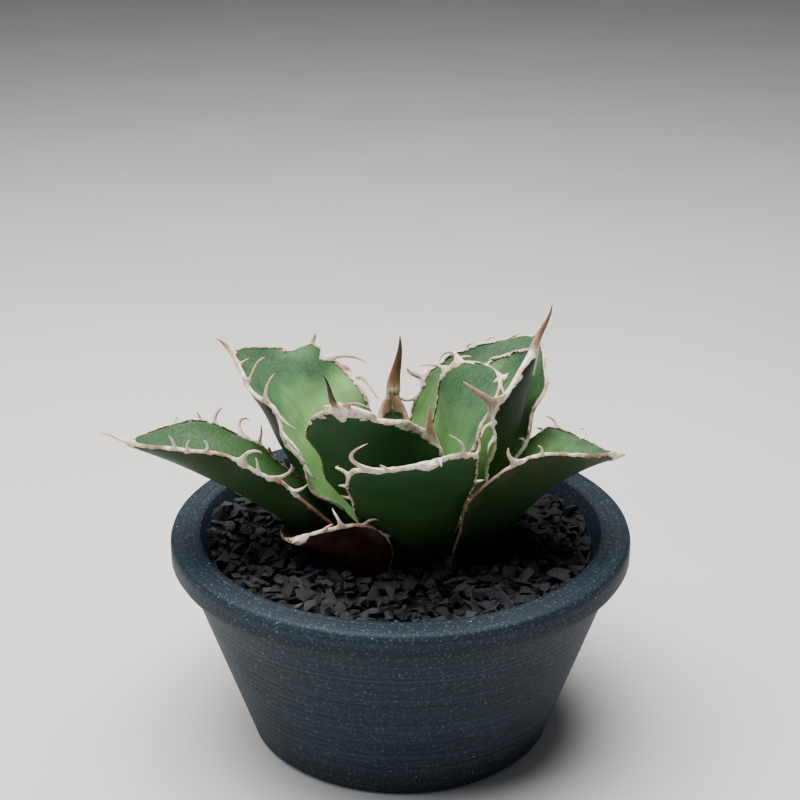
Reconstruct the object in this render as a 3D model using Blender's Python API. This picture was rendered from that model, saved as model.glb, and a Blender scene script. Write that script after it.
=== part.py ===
"""Potted agave titanota.

A rosette of thick, cupped leaves, each edged with a horny margin that carries hooked teeth and
ends in a terminal spine. The leaves stand on a short stem, rooted in potting mix that is covered
with black stone chips, in a shallow pan with a wide flat rim.

Metres, +Z up. The origin is the centre of the pan's flat underside, and the front is -Y.
"""

import math
import random
from dataclasses import dataclass

import bmesh
import bpy
from mathutils import Euler, Vector

MM = 0.001
GAP = 0.3 * MM  # clearance between pieces that touch

# Pan, a turned stoneware pot
RIM_RADIUS = 0.075
RIM_WIDTH = 0.0103
COLLAR_HEIGHT = 0.009
COLLAR_STEP = 0.004  # how far the rim stands out past the wall below it
EDGE_ROUND = 0.0016
PAN_HEIGHT = 0.072
FOOT_RADIUS = 0.050
WALL = 0.0052
FLOOR = 0.006
PAN_SEGMENTS = 44
DRAIN_HOLES = 3
DRAIN_RADIUS = 0.005
DRAIN_CIRCLE = 0.024

# Potting mix and its covering of stone chips
MIX_TOP = PAN_HEIGHT - 0.0125
BED_TOP = PAN_HEIGHT - 0.0068
BED_HOLE_RADIUS = 0.0320
CHIP_RINGS = 4
CHIP_SIZE = Vector((0.0108, 0.0086, 0.0052))
CHIP_SPACING = 0.0125

# Stem, a squat cone with the leaves' feet on its flank and a stub of root below
STEM_CENTRE = Vector((0.004, -0.002, 0))
STEM_TOP = PAN_HEIGHT + 0.001
STEM_SLOPE = 0.60
STEM_RADIUS = 0.0275
STEM_RIM = 0.002
ROOT_RADIUS = 0.011
ROOT_DEPTH = 0.036

# What all leaves share
FOOT_SHARE = 0.60  # width at the foot as a share of the width at the belly
FOOT_THICKNESS = 3.2 * MM
TIP_THICKNESS = 2.4 * MM
EDGE_THICKNESS = 1.3 * MM
MARGIN_START = 0.20  # where along the leaf the horny margin begins
MARGIN_WIDTH = 1.3 * MM
MARGIN_TIP_WIDTH = 2.6 * MM
MARGIN_PROUD = 0.25 * MM
TIP_HALF_WIDTH = 1.2 * MM  # of the green blade where the horny tip takes over
FRAME_STEPS = 40
SPINE_RADIUS = 1.5 * MM
SPINE_STEPS = 4
SPINE_SIDES = 6
POINT_RADIUS = 0.1 * MM  # of spines and teeth just short of their points
LONG_TOOTH = 6  # millimetres, above which a tooth has more faces
FULL_TOOTH = 9  # millimetres, above which a tooth is no broader at its base


@dataclass
class Leaf:
    """One leaf. Lengths are millimetres and angles degrees, left and right as seen from the stem."""

    name: str
    azimuth: float  # from +X, turning left
    foot: float  # distance of its foot from the stem's axis
    length: float
    half_width: float  # from midrib to margin, along the cupped surface at the belly
    rise: tuple  # slope of the midrib at the foot, middle and tip
    cup: float  # how far the surface turns from midrib to margin
    bend: float = 0.0  # how far the midrib turns left by the tip
    roll: float = 0.0  # how far the blade tips over to its right by the tip
    belly: float = 0.55
    thick: float = 5.0  # of the midrib at the belly
    wave: float = 0.8  # height of the margin's ripple
    spine: tuple = (5, 0, 10, 0, 0)  # length, turn to the left, lift, and how both grow along it
    left: tuple = ()  # teeth: station, length, lean and curl to the tip, growth of the curl, rise
    right: tuple = ()
    colour: str = "leaf_green"
    stations: int = 12
    columns: int = 8


LEAVES = (
    Leaf("leaf_01_bud", 135, 4.0, 46, 9.0, (88, 84, 82), 138,
         belly=0.45, thick=4.2, wave=0.2,
         spine=(19, -60, 60, 60, -80), stations=11, columns=6),
    Leaf("leaf_02_front_inner", 241, 8.0, 69.5, 23.0, (55, 78, 52), 31,
         belly=0.62, thick=4.8, bend=-22, roll=23, wave=1.0,
         spine=(11, 50, 80, -80, -50),
         left=((0.97, 11, -15, -110, -10, -5), (0.69, 11.5, 70, -55, 40, 0)),
         right=((0.97, 4, -40, -35, -10, 0),)),
    Leaf("leaf_03_right_inner", 3, 11.8, 64, 21.0, (84, 110, 26), 19,
         belly=0.72, thick=5.2, bend=-9, roll=22, wave=1.0,
         spine=(2.5, 45, 60, 0, 0),
         left=((0.82, 11, 15, -115, -70, 5), (0.80, 8, 25, 150, -55, -15),
               (0.77, 10.5, -20, -40, -25, 25)),
         right=((0.97, 5.5, -40, -55, 15, -10),)),
    Leaf("leaf_04_front", 267, 14.2, 67.5, 20.5, (63, 80, 19), 12,
         belly=0.72, thick=5.2, bend=29, roll=3, wave=0.8,
         spine=(2.5, 0, 0, 0, 0),
         left=((0.97, 4, 45, 10, 5, -30), (0.89, 12, 30, 25, 100, 30), (0.79, 7, 15, 65, 5, 45),
               (0.58, 4, -5, -10, 10, 10), (0.43, 4, 5, 90, 30, 0), (0.31, 3, 20, 0, 0, 25)),
         right=((0.90, 4, 25, -50, -55, 20), (0.86, 19, -40, 70, 100, 20), (0.72, 8.5, 75, -155, -90, 30),
                (0.63, 3, 15, -40, -20, 5), (0.49, 4, 5, 50, 30, -10))),
    Leaf("leaf_05_back_left", 152, 14.0, 78.5, 30.5, (47, 65, 35), 43,
         belly=0.62, thick=4.8, bend=15, roll=4, wave=1.2,
         spine=(6.5, -25, 50, 30, -80),
         left=((0.93, 5, 115, 50, 10, 50), (0.86, 13, -75, 110, 125, 55), (0.74, 10.5, 30, -25, -30, 50),
               (0.67, 8, -65, -70, -30, 30), (0.59, 12, -15, -60, -25, 15), (0.43, 5.5, -45, -45, -25, 15)),
         right=((0.88, 3, -35, 15, 5, 20), (0.79, 4, -35, 10, 5, 25), (0.71, 16, -55, -45, -30, 15),
                (0.65, 6, -30, -125, -30, 10), (0.60, 14, -10, -260, 190, -5),
                (0.54, 7.5, -65, -95, 65, 15))),
    Leaf("leaf_06_right", 22, 15.8, 71.5, 26.5, (86, 43, 83), 38,
         belly=0.70, thick=6.2, bend=-43, roll=1, wave=0.8,
         spine=(16, 20, -80, 0, 90),
         left=((0.78, 4, -60, -45, -15, 25),),
         right=((0.80, 15.5, 0, -50, 50, 30), (0.70, 9, 40, -125, 30, -5), (0.64, 6.5, 5, -70, -45, 0),
                (0.59, 5, -90, 0, -10, 15))),
    Leaf("leaf_07_back_right", 49, 19.6, 75, 27.0, (76, 47, 47), 46,
         belly=0.54, thick=4.2, bend=-14, roll=2, wave=0.9,
         spine=(4.5, 20, 20, 5, 5),
         left=((0.90, 7, 80, 10, 0, 20), (0.85, 5, 10, 130, 15, 5), (0.78, 5, 45, 40, 45, 20),
               (0.60, 8.5, -10, -70, 110, 25), (0.52, 9, -60, 60, 40, 30), (0.42, 3, 15, 0, 0, 20)),
         right=((0.92, 4, -75, 5, 0, -5), (0.82, 4, -75, -5, -5, -10), (0.70, 7, -50, -50, -50, 0),
                (0.59, 9, -90, 80, 60, 10), (0.47, 6, 100, -105, -60, 35))),
    Leaf("leaf_08_left", 194, 19.4, 88, 19.5, (57, 29, 16), 54,
         belly=0.69, thick=5.8, bend=-11, roll=9, wave=0.5,
         spine=(9, -20, 70, 30, -100),
         left=((0.85, 6, -15, 0, 65, 15), (0.81, 4, 20, -35, -40, 25), (0.76, 5, -25, 40, 55, 15),
               (0.64, 10, 25, -40, -130, 15), (0.58, 5, 30, 30, 10, 30), (0.52, 10, -30, -5, 95, 5),
               (0.44, 5.5, -20, 20, 10, 20)),
         right=((0.84, 3, -15, -40, -20, 30), (0.75, 3.5, 20, 30, 10, 25), (0.70, 6.5, 15, -25, -40, 25),
                (0.57, 11, 60, -25, -145, -10), (0.52, 6.5, -5, 35, 30, 20), (0.46, 6, 60, 95, 50, 50),
                (0.39, 4, 20, 115, 70, 35))),
    Leaf("leaf_09_right_low", 344, 23.4, 66.5, 30.0, (87, 41, 11), 44,
         belly=0.60, thick=5.2, bend=17, roll=-21, wave=0.5,
         spine=(2.5, 0, -30, 0, 0),
         left=((0.82, 7, 10, -95, -75, 5), (0.70, 6.5, -30, -55, -20, 15), (0.62, 3.5, -5, -55, -15, 5)),
         right=((0.84, 3, 45, 80, 25, 0), (0.74, 4.5, 20, -30, -65, 15), (0.66, 7, -15, -5, 70, 15))),
    Leaf("leaf_10_front_left_low", 219, 22.6, 36.5, 20.5, (55, 60, 12), 42,
         belly=0.44, thick=4.0, bend=13, roll=31, wave=0.4,
         spine=(3, 20, -20, 0, 0), colour="leaf_old", stations=9, columns=6,
         left=((0.88, 4, -30, -55, -30, 15), (0.80, 7, 5, 50, 50, 60), (0.66, 6, 20, -80, -40, -10),
               (0.51, 3, -45, -55, 0, 25)),
         right=((0.94, 3, 15, 60, 35, 15), (0.43, 3, -20, 45, 45, 45))),
    Leaf("leaf_11_back_low", 126, 22.6, 55.5, 17.5, (67, 24, 6), 50,
         thick=4.8, wave=0.5, stations=10, columns=6,
         left=((0.88, 4, 0, 30, 0, 10), (0.75, 5, 10, -50, -20, 10), (0.60, 7, -20, 70, 40, 10),
               (0.46, 4, 0, 30, 0, 10)),
         right=((0.86, 4, 0, 30, 0, 10), (0.72, 5, 0, 50, 20, 10), (0.56, 6, -20, 60, 30, 10),
                (0.43, 4, 0, 30, 0, 10))),
    Leaf("leaf_12_back_right_low", 66, 23.6, 54, 16.0, (79, 22, 4), 54,
         thick=5.2, wave=0.5, stations=10, columns=6,
         left=((0.88, 4, 0, 30, 0, 10), (0.74, 6, 0, 60, 30, 10), (0.60, 5, 10, -40, -20, 10),
               (0.46, 4, 0, 30, 0, 10)),
         right=((0.86, 4, 0, 30, 0, 10), (0.72, 5, 0, -40, -20, 10), (0.58, 6, -20, 70, 40, 10),
                (0.44, 4, 0, 30, 0, 10))),
)

COLOURS = {
    "pan_stoneware": ((0.030, 0.038, 0.046), 0.55),
    "potting_mix": ((0.035, 0.028, 0.022), 0.95),
    "stone_chips": ((0.022, 0.023, 0.027), 0.80),
    "stem": ((0.42, 0.45, 0.30), 0.70),
    "leaf_green": ((0.10, 0.23, 0.10), 0.55),
    "leaf_old": ((0.12, 0.05, 0.04), 0.60),
    "horny_margin": ((0.72, 0.62, 0.53), 0.60),
}


def clear_scene():
    for obj in list(bpy.data.objects):
        bpy.data.objects.remove(obj)


def material(name):
    colour, roughness = COLOURS[name]
    made = bpy.data.materials.get(name)
    if made is None:
        made = bpy.data.materials.new(name)
        made.use_nodes = True
        shader = made.node_tree.nodes["Principled BSDF"]
        shader.inputs["Base Color"].default_value = (*colour, 1)
        shader.inputs["Roughness"].default_value = roughness
        shader.inputs["Metallic"].default_value = 0
    return made


def add_object(name, bm, finish=None, smooth_angle=None):
    """Turns a bmesh into an object, and frees it."""
    bmesh.ops.recalc_face_normals(bm, faces=bm.faces[:])
    mesh = bpy.data.meshes.new(name)
    bm.to_mesh(mesh)
    bm.free()
    if smooth_angle is not None:
        mesh.shade_smooth()
        mesh.set_sharp_from_angle(angle=math.radians(smooth_angle))
    obj = bpy.data.objects.new(name, mesh)
    bpy.context.scene.collection.objects.link(obj)
    if finish:
        mesh.materials.append(material(finish))
    return obj


def apply_modifiers(obj):
    """Replaces an object's mesh by what its modifiers make of it."""
    bpy.context.view_layer.update()
    evaluated = obj.evaluated_get(bpy.context.evaluated_depsgraph_get())
    made = bpy.data.meshes.new_from_object(evaluated)
    finish = list(obj.data.materials)
    obj.modifiers.clear()
    obj.data = made
    made.materials.clear()
    for item in finish:
        made.materials.append(item)


def union_all(obj, others):
    """Joins the other objects into the first with one Boolean, applies it, and removes them."""
    group = bpy.data.collections.new(obj.name + "_parts")
    for other in others:
        bpy.context.scene.collection.objects.unlink(other)
        group.objects.link(other)
    bpy.context.scene.collection.children.link(group)
    join = obj.modifiers.new("join", "BOOLEAN")
    join.operation = "UNION"
    join.operand_type = "COLLECTION"
    join.collection = group
    join.solver = "MANIFOLD"
    apply_modifiers(obj)
    for other in others:
        bpy.data.objects.remove(other)
    bpy.data.collections.remove(group)


def turned(name, profile, segments, finish):
    """A solid of revolution about +Z from a profile of (radius, height) with both ends on the axis."""
    bm = bmesh.new()
    points = [bm.verts.new((radius, 0, height)) for radius, height in profile]
    edges = [bm.edges.new(pair) for pair in zip(points, points[1:])]
    bmesh.ops.spin(bm, geom=points + edges, cent=(0, 0, 0), axis=(0, 0, 1),
                   angle=2 * math.pi, steps=segments, use_merge=True)
    bmesh.ops.remove_doubles(bm, verts=bm.verts[:], dist=1e-6)
    return add_object(name, bm, finish, smooth_angle=35)


def smooth_step(x):
    x = min(1.0, max(0.0, x))
    return x * x * (3 - 2 * x)


def mix(a, b, share):
    return a + (b - a) * share


def wall_radius(height):
    """Inner radius of the pan's wall at a height."""
    share = (height - FLOOR) / (PAN_HEIGHT - FLOOR)
    return mix(FOOT_RADIUS - WALL, RIM_RADIUS - RIM_WIDTH, share)


def stem_height(radius):
    """Height of the stem's flank at a distance from its axis."""
    return STEM_TOP - STEM_SLOPE * radius


class LeafShape:
    """The surface of one leaf, as points by station along it and distance across it."""

    def __init__(self, leaf):
        self.leaf = leaf
        self.length = leaf.length * MM
        self.half_width = leaf.half_width * MM
        self.frames = self.trace_midrib()
        self.teeth = {1: leaf.left, -1: leaf.right}
        self.green_end = self.find_green_end()

    def trace_midrib(self):
        leaf = self.leaf
        azimuth = math.radians(leaf.azimuth)
        radius = leaf.foot * MM
        place = STEM_CENTRE + Vector((radius * math.cos(azimuth), radius * math.sin(azimuth),
                                      stem_height(radius)))
        frames = []
        for step in range(FRAME_STEPS + 1):
            s = step / FRAME_STEPS
            low, middle, tip = leaf.rise
            rise = math.radians((1 - s) ** 2 * low + 2 * s * (1 - s) * middle + s * s * tip)
            turn = azimuth + math.radians(leaf.bend) * s * s
            along = Vector((math.cos(rise) * math.cos(turn), math.cos(rise) * math.sin(turn),
                            math.sin(rise)))
            side = Vector((-math.sin(turn), math.cos(turn), 0))
            face = along.cross(side)
            tilt = math.radians(leaf.roll) * s
            side, face = (side * math.cos(tilt) + face * math.sin(tilt),
                          face * math.cos(tilt) - side * math.sin(tilt))
            frames.append((place.copy(), along, side, face))
            place += along * self.length / FRAME_STEPS
        return frames

    def frame(self, s):
        x = min(max(s, 0.0), 1.0) * FRAME_STEPS
        i = min(int(x), FRAME_STEPS - 1)
        share = x - i
        return [a.lerp(b, share) for a, b in zip(self.frames[i], self.frames[i + 1])]

    def width(self, s):
        """Distance from the midrib to the outer margin."""
        belly = self.leaf.belly
        if s < belly:
            share = mix(FOOT_SHARE, 1, math.sin(math.pi / 2 * s / belly) ** 2)
        else:
            share = 1 - ((s - belly) / (1 - belly)) ** 2.1
        return self.half_width * share

    def margin_width(self, s):
        if s < MARGIN_START:
            return 0.0
        grow = smooth_step((s - MARGIN_START) / 0.25)
        return mix(0.5 * MM, mix(MARGIN_WIDTH, MARGIN_TIP_WIDTH, smooth_step((s - 0.6) / 0.4)), grow)

    def green_width(self, s):
        bare = self.width(s) - self.margin_width(s)
        return bare - GAP if s >= MARGIN_START else bare

    def find_green_end(self):
        s = 0.75
        while self.green_width(s) > TIP_HALF_WIDTH:
            s += 0.002
        return s

    def thickness(self, s, share):
        rib = mix(FOOT_THICKNESS, self.leaf.thick * MM, smooth_step(s / 0.35))
        rib = mix(rib, TIP_THICKNESS, smooth_step((s - 0.4) / 0.6))
        return mix(rib, EDGE_THICKNESS, min(1.0, abs(share)) ** 2)

    def surface(self, s, across):
        """Point and normal of the inner face, at a distance across from the midrib, left positive."""
        place, along, side, face = self.frame(s)
        half = self.width(s)
        clasp = min(1.35, self.width(0) / (self.leaf.foot * MM))
        cup = mix(clasp, math.radians(self.leaf.cup), smooth_step(s / 0.4))
        radius = self.half_width * mix(FOOT_SHARE, 1, smooth_step(s / 0.4)) / cup
        angle = across / radius
        normal = face * math.cos(angle) - side * math.sin(angle)
        point = place + side * radius * math.sin(angle) + face * radius * (1 - math.cos(angle))
        share = min(1.0, abs(across) / max(half, 2 * MM))
        phase = self.leaf.azimuth + (1.7 if across > 0 else 0)
        ripple = math.sin(s * self.leaf.length / 3.1 + phase) * smooth_step(s / 0.3) * min(1, 5 * (1 - s))
        return point + normal * self.leaf.wave * MM * ripple * share ** 3, normal

    def point(self, s, across, depth):
        """A point under the inner face. At the foot it drops to the stem's flank."""
        place, normal = self.surface(s, across)
        place = place - normal * depth
        if s == 0:
            reach = math.hypot(place.x - STEM_CENTRE.x, place.y - STEM_CENTRE.y)
            place.z = stem_height(reach) + GAP
        return place

    def green_stations(self):
        """Stations from foot to the end of the green, closer together towards the tip."""
        count = self.leaf.stations
        return [self.green_end * (1 - (1 - k / count) ** 1.3) for k in range(count + 1)]


def grid_solid(columns, rows, place_point):
    """A closed slab from a grid of columns by rows, both faces split into triangles alike.

    place_point(column, row, under) gives the place of each of its points.
    """
    bm = bmesh.new()
    bmesh.ops.create_grid(bm, x_segments=columns, y_segments=rows, size=0.5)
    bmesh.ops.triangulate(bm, faces=bm.faces[:], quad_method="FIXED")
    copied = bmesh.ops.extrude_face_region(bm, geom=bm.faces[:])["geom"]
    under = {item for item in copied if isinstance(item, bmesh.types.BMVert)}
    for vert in bm.verts:
        column = round((vert.co.x + 0.5) * columns)
        row = round((vert.co.y + 0.5) * rows)
        vert.co = place_point(column, row, vert in under)
    return bm


def green_blade(shape):
    leaf = shape.leaf
    stations = shape.green_stations()

    def place_point(column, row, under):
        s = stations[column]
        across = (2 * row / leaf.columns - 1) * shape.green_width(s)
        depth = shape.thickness(s, across / max(shape.width(s), MM)) if under else 0
        return shape.point(s, across, depth)

    bm = grid_solid(leaf.stations, leaf.columns, place_point)
    return add_object(leaf.name, bm, leaf.colour, smooth_angle=50)


def margin_band(shape, side):
    """The horny edge of one side, from where it begins to the very tip."""
    stations = [s for s in shape.green_stations() if s >= MARGIN_START]
    stations += [mix(shape.green_end, 1, 0.5), 0.995]

    def place_point(column, row, under):
        s = stations[column]
        outer = max(shape.width(s), 0.5 * MM)
        inner = max(outer - shape.margin_width(s), 0.1 * MM)
        across = side * (outer if row else inner)
        edge = shape.thickness(s, 1.0)
        thin = 0.2 * MM if row else -MARGIN_PROUD
        depth = edge - thin if under else thin
        return shape.point(s, across, depth)

    bm = grid_solid(len(stations) - 1, 1, place_point)
    return add_object(f"{shape.leaf.name}_band", bm, "horny_margin")


def horn(name, rings):
    """A closed horn through rings of points, run to a point at the middle of the last ring."""
    bm = bmesh.new()
    face = bm.faces.new([bm.verts.new(point) for point in rings[0]])
    for ring in rings[1:]:
        grown = bmesh.ops.extrude_face_region(bm, geom=[face, *face.edges, *face.verts])["geom"]
        face = next(item for item in grown if isinstance(item, bmesh.types.BMFace))
        for vert, point in zip(face.verts, ring):
            vert.co = point
    middle = sum((vert.co for vert in face.verts), Vector()) / len(face.verts)
    bmesh.ops.pointmerge(bm, verts=face.verts[:], merge_co=middle)
    return add_object(name, bm)


def ring(centre, first, second, first_size, second_size, sides):
    turn = [2 * math.pi * (k + 0.5) / sides for k in range(sides)]
    return [centre + first * first_size * math.cos(a) + second * second_size * math.sin(a) for a in turn]


def terminal_spine(shape):
    """The horny tip and the spine that it runs out into."""
    length, turn, lift, more_turn, more_lift = shape.leaf.spine
    start = shape.green_end + 0.5 * MM / shape.length
    core = 0.5 * TIP_THICKNESS
    rings = []
    for s in (start, mix(start, 1, 0.5)):
        _, _, side, face = shape.frame(s)
        rings.append(ring(shape.point(s, 0, core), side, face, shape.width(s), 1.6 * core, SPINE_SIDES))
    _, along, side, face = shape.frame(1)
    centre = shape.point(1, 0, core)
    for k in range(SPINE_STEPS + 1):
        share = k / SPINE_STEPS
        size = SPINE_RADIUS * (1 - share) ** 0.8 + POINT_RADIUS
        rings.append(ring(centre, side, face, size, size, SPINE_SIDES))
        way = share + 0.5 / SPINE_STEPS
        turned_by = math.radians(turn * way + more_turn * way * way)
        lifted_by = math.radians(lift * way + more_lift * way * way)
        heading = along * math.cos(lifted_by) + face * math.sin(lifted_by)
        heading = (heading * math.cos(turned_by) + side * math.sin(turned_by)).normalized()
        centre = centre + heading * length * MM / SPINE_STEPS
    return horn(f"{shape.leaf.name}_spine", rings)


def tooth(shape, side, station, length, lean, curl, more_curl, rise):
    """A hooked tooth that grows out of the horny margin."""
    inset = 0.55 * shape.margin_width(station)

    def root_at(s):
        return shape.point(s, side * (shape.width(s) - inset), 0.5 * EDGE_THICKNESS)

    centre = root_at(station)
    forward = (root_at(station + 0.02) - root_at(station - 0.02)).normalized()
    normal = shape.surface(station, side * shape.width(station))[1]
    outward = (normal.cross(forward) * side).normalized()
    normal = (forward.cross(outward) * side).normalized()
    rings = []
    steps, sides = (4, 4) if length > LONG_TOOTH else (2, 3)
    for k in range(steps + 1):
        share = k / steps
        way = share + 0.5 / steps
        angle = math.radians(lean + curl * way + more_curl * way * way)
        heading = outward * math.cos(angle) + forward * math.sin(angle)
        across = forward * math.cos(angle) - outward * math.sin(angle) if k else forward
        lift = math.radians(rise * (0.5 + way))
        heading = heading * math.cos(lift) + normal * math.sin(lift)
        size = (0.9 + 0.13 * min(length, FULL_TOOTH)) * MM * (1 - share) ** 1.2 + POINT_RADIUS
        thick = 0.5 * EDGE_THICKNESS * (1 - share) ** 0.6 + POINT_RADIUS
        rings.append(ring(centre, across, heading.cross(across).normalized(), size, thick, sides))
        centre = centre + heading * length * MM / steps
    return horn(f"{shape.leaf.name}_tooth", rings)


def horny_margin(shape):
    """Both edge bands, the terminal spine and every tooth of a leaf, joined into one body."""
    band = margin_band(shape, 1)
    others = [margin_band(shape, -1), terminal_spine(shape)]
    for side, teeth in shape.teeth.items():
        others += [tooth(shape, side, *spec) for spec in teeth]
    union_all(band, others)
    band.name = f"{shape.leaf.name}_margin"
    return band


def pan():
    inner = RIM_RADIUS - RIM_WIDTH
    under_rim = RIM_RADIUS - COLLAR_STEP
    profile = [
        (0, 0), (FOOT_RADIUS - EDGE_ROUND, 0), (FOOT_RADIUS, EDGE_ROUND),
        (under_rim, PAN_HEIGHT - COLLAR_HEIGHT), (RIM_RADIUS - EDGE_ROUND / 2, PAN_HEIGHT - COLLAR_HEIGHT),
        (RIM_RADIUS, PAN_HEIGHT - COLLAR_HEIGHT + EDGE_ROUND), (RIM_RADIUS, PAN_HEIGHT - EDGE_ROUND),
        (RIM_RADIUS - EDGE_ROUND, PAN_HEIGHT), (inner + EDGE_ROUND / 2, PAN_HEIGHT),
        (inner, PAN_HEIGHT - EDGE_ROUND / 2), (wall_radius(FLOOR), FLOOR), (0, FLOOR),
    ]
    body = turned("pan", profile, PAN_SEGMENTS, "pan_stoneware")
    for k in range(DRAIN_HOLES):
        angle = 2 * math.pi * (k + 0.25) / DRAIN_HOLES
        bm = bmesh.new()
        bmesh.ops.create_cone(bm, cap_ends=True, segments=16, radius1=DRAIN_RADIUS,
                              radius2=DRAIN_RADIUS, depth=4 * FLOOR)
        bmesh.ops.translate(bm, verts=bm.verts[:], vec=(DRAIN_CIRCLE * math.cos(angle),
                                                        DRAIN_CIRCLE * math.sin(angle), FLOOR / 2))
        cutter = add_object(f"drain_cutter_{k}", bm)
        cutter.hide_render = True
        cutter.display_type = "WIRE"
        cut = body.modifiers.new(f"drain_{k}", "BOOLEAN")
        cut.operation = "DIFFERENCE"
        cut.object = cutter
    return body


def stem():
    flank = stem_height(STEM_RADIUS)
    profile = [
        (0, STEM_TOP), (STEM_RADIUS, flank), (STEM_RADIUS, flank - STEM_RIM),
        (ROOT_RADIUS, flank - STEM_RIM - 0.004), (ROOT_RADIUS * 0.5, PAN_HEIGHT - ROOT_DEPTH),
        (0, PAN_HEIGHT - ROOT_DEPTH - 0.002),
    ]
    body = turned("stem", profile, 32, "stem")
    move(body, STEM_CENTRE)
    return body


def move(obj, by):
    """Shifts the mesh itself, so that the object stays at the origin."""
    for vert in obj.data.vertices:
        vert.co += by


def pit_profile():
    """The stem's outline below its flank, grown by the gap, as a hole for the mix."""
    flank = stem_height(STEM_RADIUS)
    return [
        (0, PAN_HEIGHT - ROOT_DEPTH - 0.002 - GAP), (ROOT_RADIUS * 0.5 + GAP, PAN_HEIGHT - ROOT_DEPTH - GAP),
        (ROOT_RADIUS + GAP, flank - STEM_RIM - 0.004 - GAP), (STEM_RADIUS + GAP, flank - STEM_RIM - GAP),
        (STEM_RADIUS + GAP, PAN_HEIGHT), (0, PAN_HEIGHT),
    ]


def bore_pit(obj):
    """Cuts the stem's pit out of a piece."""
    pit = turned(f"pit_cutter_{obj.name}", pit_profile(), 32, None)
    move(pit, STEM_CENTRE)
    pit.hide_render = True
    pit.display_type = "WIRE"
    cut = obj.modifiers.new("pit", "BOOLEAN")
    cut.operation = "DIFFERENCE"
    cut.object = pit


def potting_mix():
    bottom = FLOOR + GAP
    profile = [
        (0, bottom), (wall_radius(bottom) - 1.5 * GAP, bottom),
        (wall_radius(MIX_TOP) - 1.5 * GAP, MIX_TOP), (0, MIX_TOP),
    ]
    body = turned("potting_mix", profile, PAN_SEGMENTS, "potting_mix")
    bore_pit(body)
    return body


def chip(place, size, turn):
    """One crushed stone: a block with its corners knocked about."""
    bm = bmesh.new()
    bmesh.ops.create_cube(bm, size=1)
    for vert in bm.verts:
        vert.co = Vector(c * d * turn.uniform(0.45, 1.1) for c, d in zip(vert.co, size))
    lean = Euler((turn.uniform(-0.5, 0.5), turn.uniform(-0.5, 0.5), turn.uniform(0, math.tau)))
    bmesh.ops.rotate(bm, verts=bm.verts[:], matrix=lean.to_matrix())
    bmesh.ops.translate(bm, verts=bm.verts[:], vec=place)
    for vert in bm.verts:
        reach = vert.co.xy.length
        vert.co.xy *= min(1.0, (wall_radius(vert.co.z) - 3 * GAP) / reach)
    bmesh.ops.triangulate(bm, faces=bm.faces[:])
    return add_object("chip", bm)


def room_above(leaves):
    """Height of the lowest leaf surface over each point of the bed, as a lookup."""
    points = []
    for shape in leaves:
        for k in range(1, 24):
            s = k / 24
            for row in range(-4, 5):
                across = row / 4 * shape.width(s)
                points.append(shape.point(s, across, shape.thickness(s, row / 4)))
    points = [p for p in points if p.z < PAN_HEIGHT + 0.020]

    def lowest(x, y, reach):
        near = [p.z for p in points if math.hypot(p.x - x, p.y - y) < reach]
        return min(near, default=1.0)

    return lowest


def bed_slab():
    """What lies under the chips of the surface, with a plain hole for the stem and the leaves' feet."""
    bottom = MIX_TOP + GAP
    profile = [
        (0, bottom), (wall_radius(bottom) - 1.5 * GAP, bottom),
        (wall_radius(BED_TOP) - 1.5 * GAP, BED_TOP), (0, BED_TOP),
    ]
    slab = turned("stone_chips", profile, PAN_SEGMENTS, "stone_chips")
    hole = turned("bed_cutter", [(0, bottom - 0.01), (BED_HOLE_RADIUS, bottom - 0.01),
                                 (BED_HOLE_RADIUS, PAN_HEIGHT), (0, PAN_HEIGHT)], 32, None)
    move(hole, STEM_CENTRE)
    cut = slab.modifiers.new("hole", "BOOLEAN")
    cut.operation = "DIFFERENCE"
    cut.object = hole
    apply_modifiers(slab)
    bpy.data.objects.remove(hole)
    return slab


def stone_chips(leaves):
    """The covering of stone chips: a slab with the chips of its surface standing out of it."""
    slab = bed_slab()
    turn = random.Random(7)
    lowest = room_above(leaves)
    outer = wall_radius(BED_TOP) - 0.0072
    inner = BED_HOLE_RADIUS + 0.002
    chips = []
    for circle in range(CHIP_RINGS):
        share = circle / (CHIP_RINGS - 1)
        radius = mix(inner, outer, share)
        centre = STEM_CENTRE * (1 - share)
        count = int(math.tau * radius / CHIP_SPACING)
        for k in range(count):
            angle = math.tau * (k + turn.uniform(-0.25, 0.25)) / count + circle
            reach = radius + turn.uniform(-0.0012, 0.0012)
            x = centre.x + reach * math.cos(angle)
            y = centre.y + reach * math.sin(angle)
            size = CHIP_SIZE * turn.uniform(0.85, 1.15)
            height = BED_TOP + turn.uniform(0.0002, 0.0016)
            if lowest(x, y, 0.62 * size.x) > height + 0.62 * size.z + GAP:
                chips.append(chip(Vector((x, y, height)), size, turn))
    union_all(slab, chips)
    return slab


def main():
    clear_scene()
    leaves = [LeafShape(leaf) for leaf in LEAVES]
    pan()
    stem()
    potting_mix()
    stone_chips(leaves)
    for shape in leaves:
        green_blade(shape)
        horny_margin(shape)


main()
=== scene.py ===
import math
import random
from dataclasses import dataclass

import bmesh
import bpy
import numpy as np
from mathutils import Euler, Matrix, Quaternion, Vector, kdtree, noise


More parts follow.
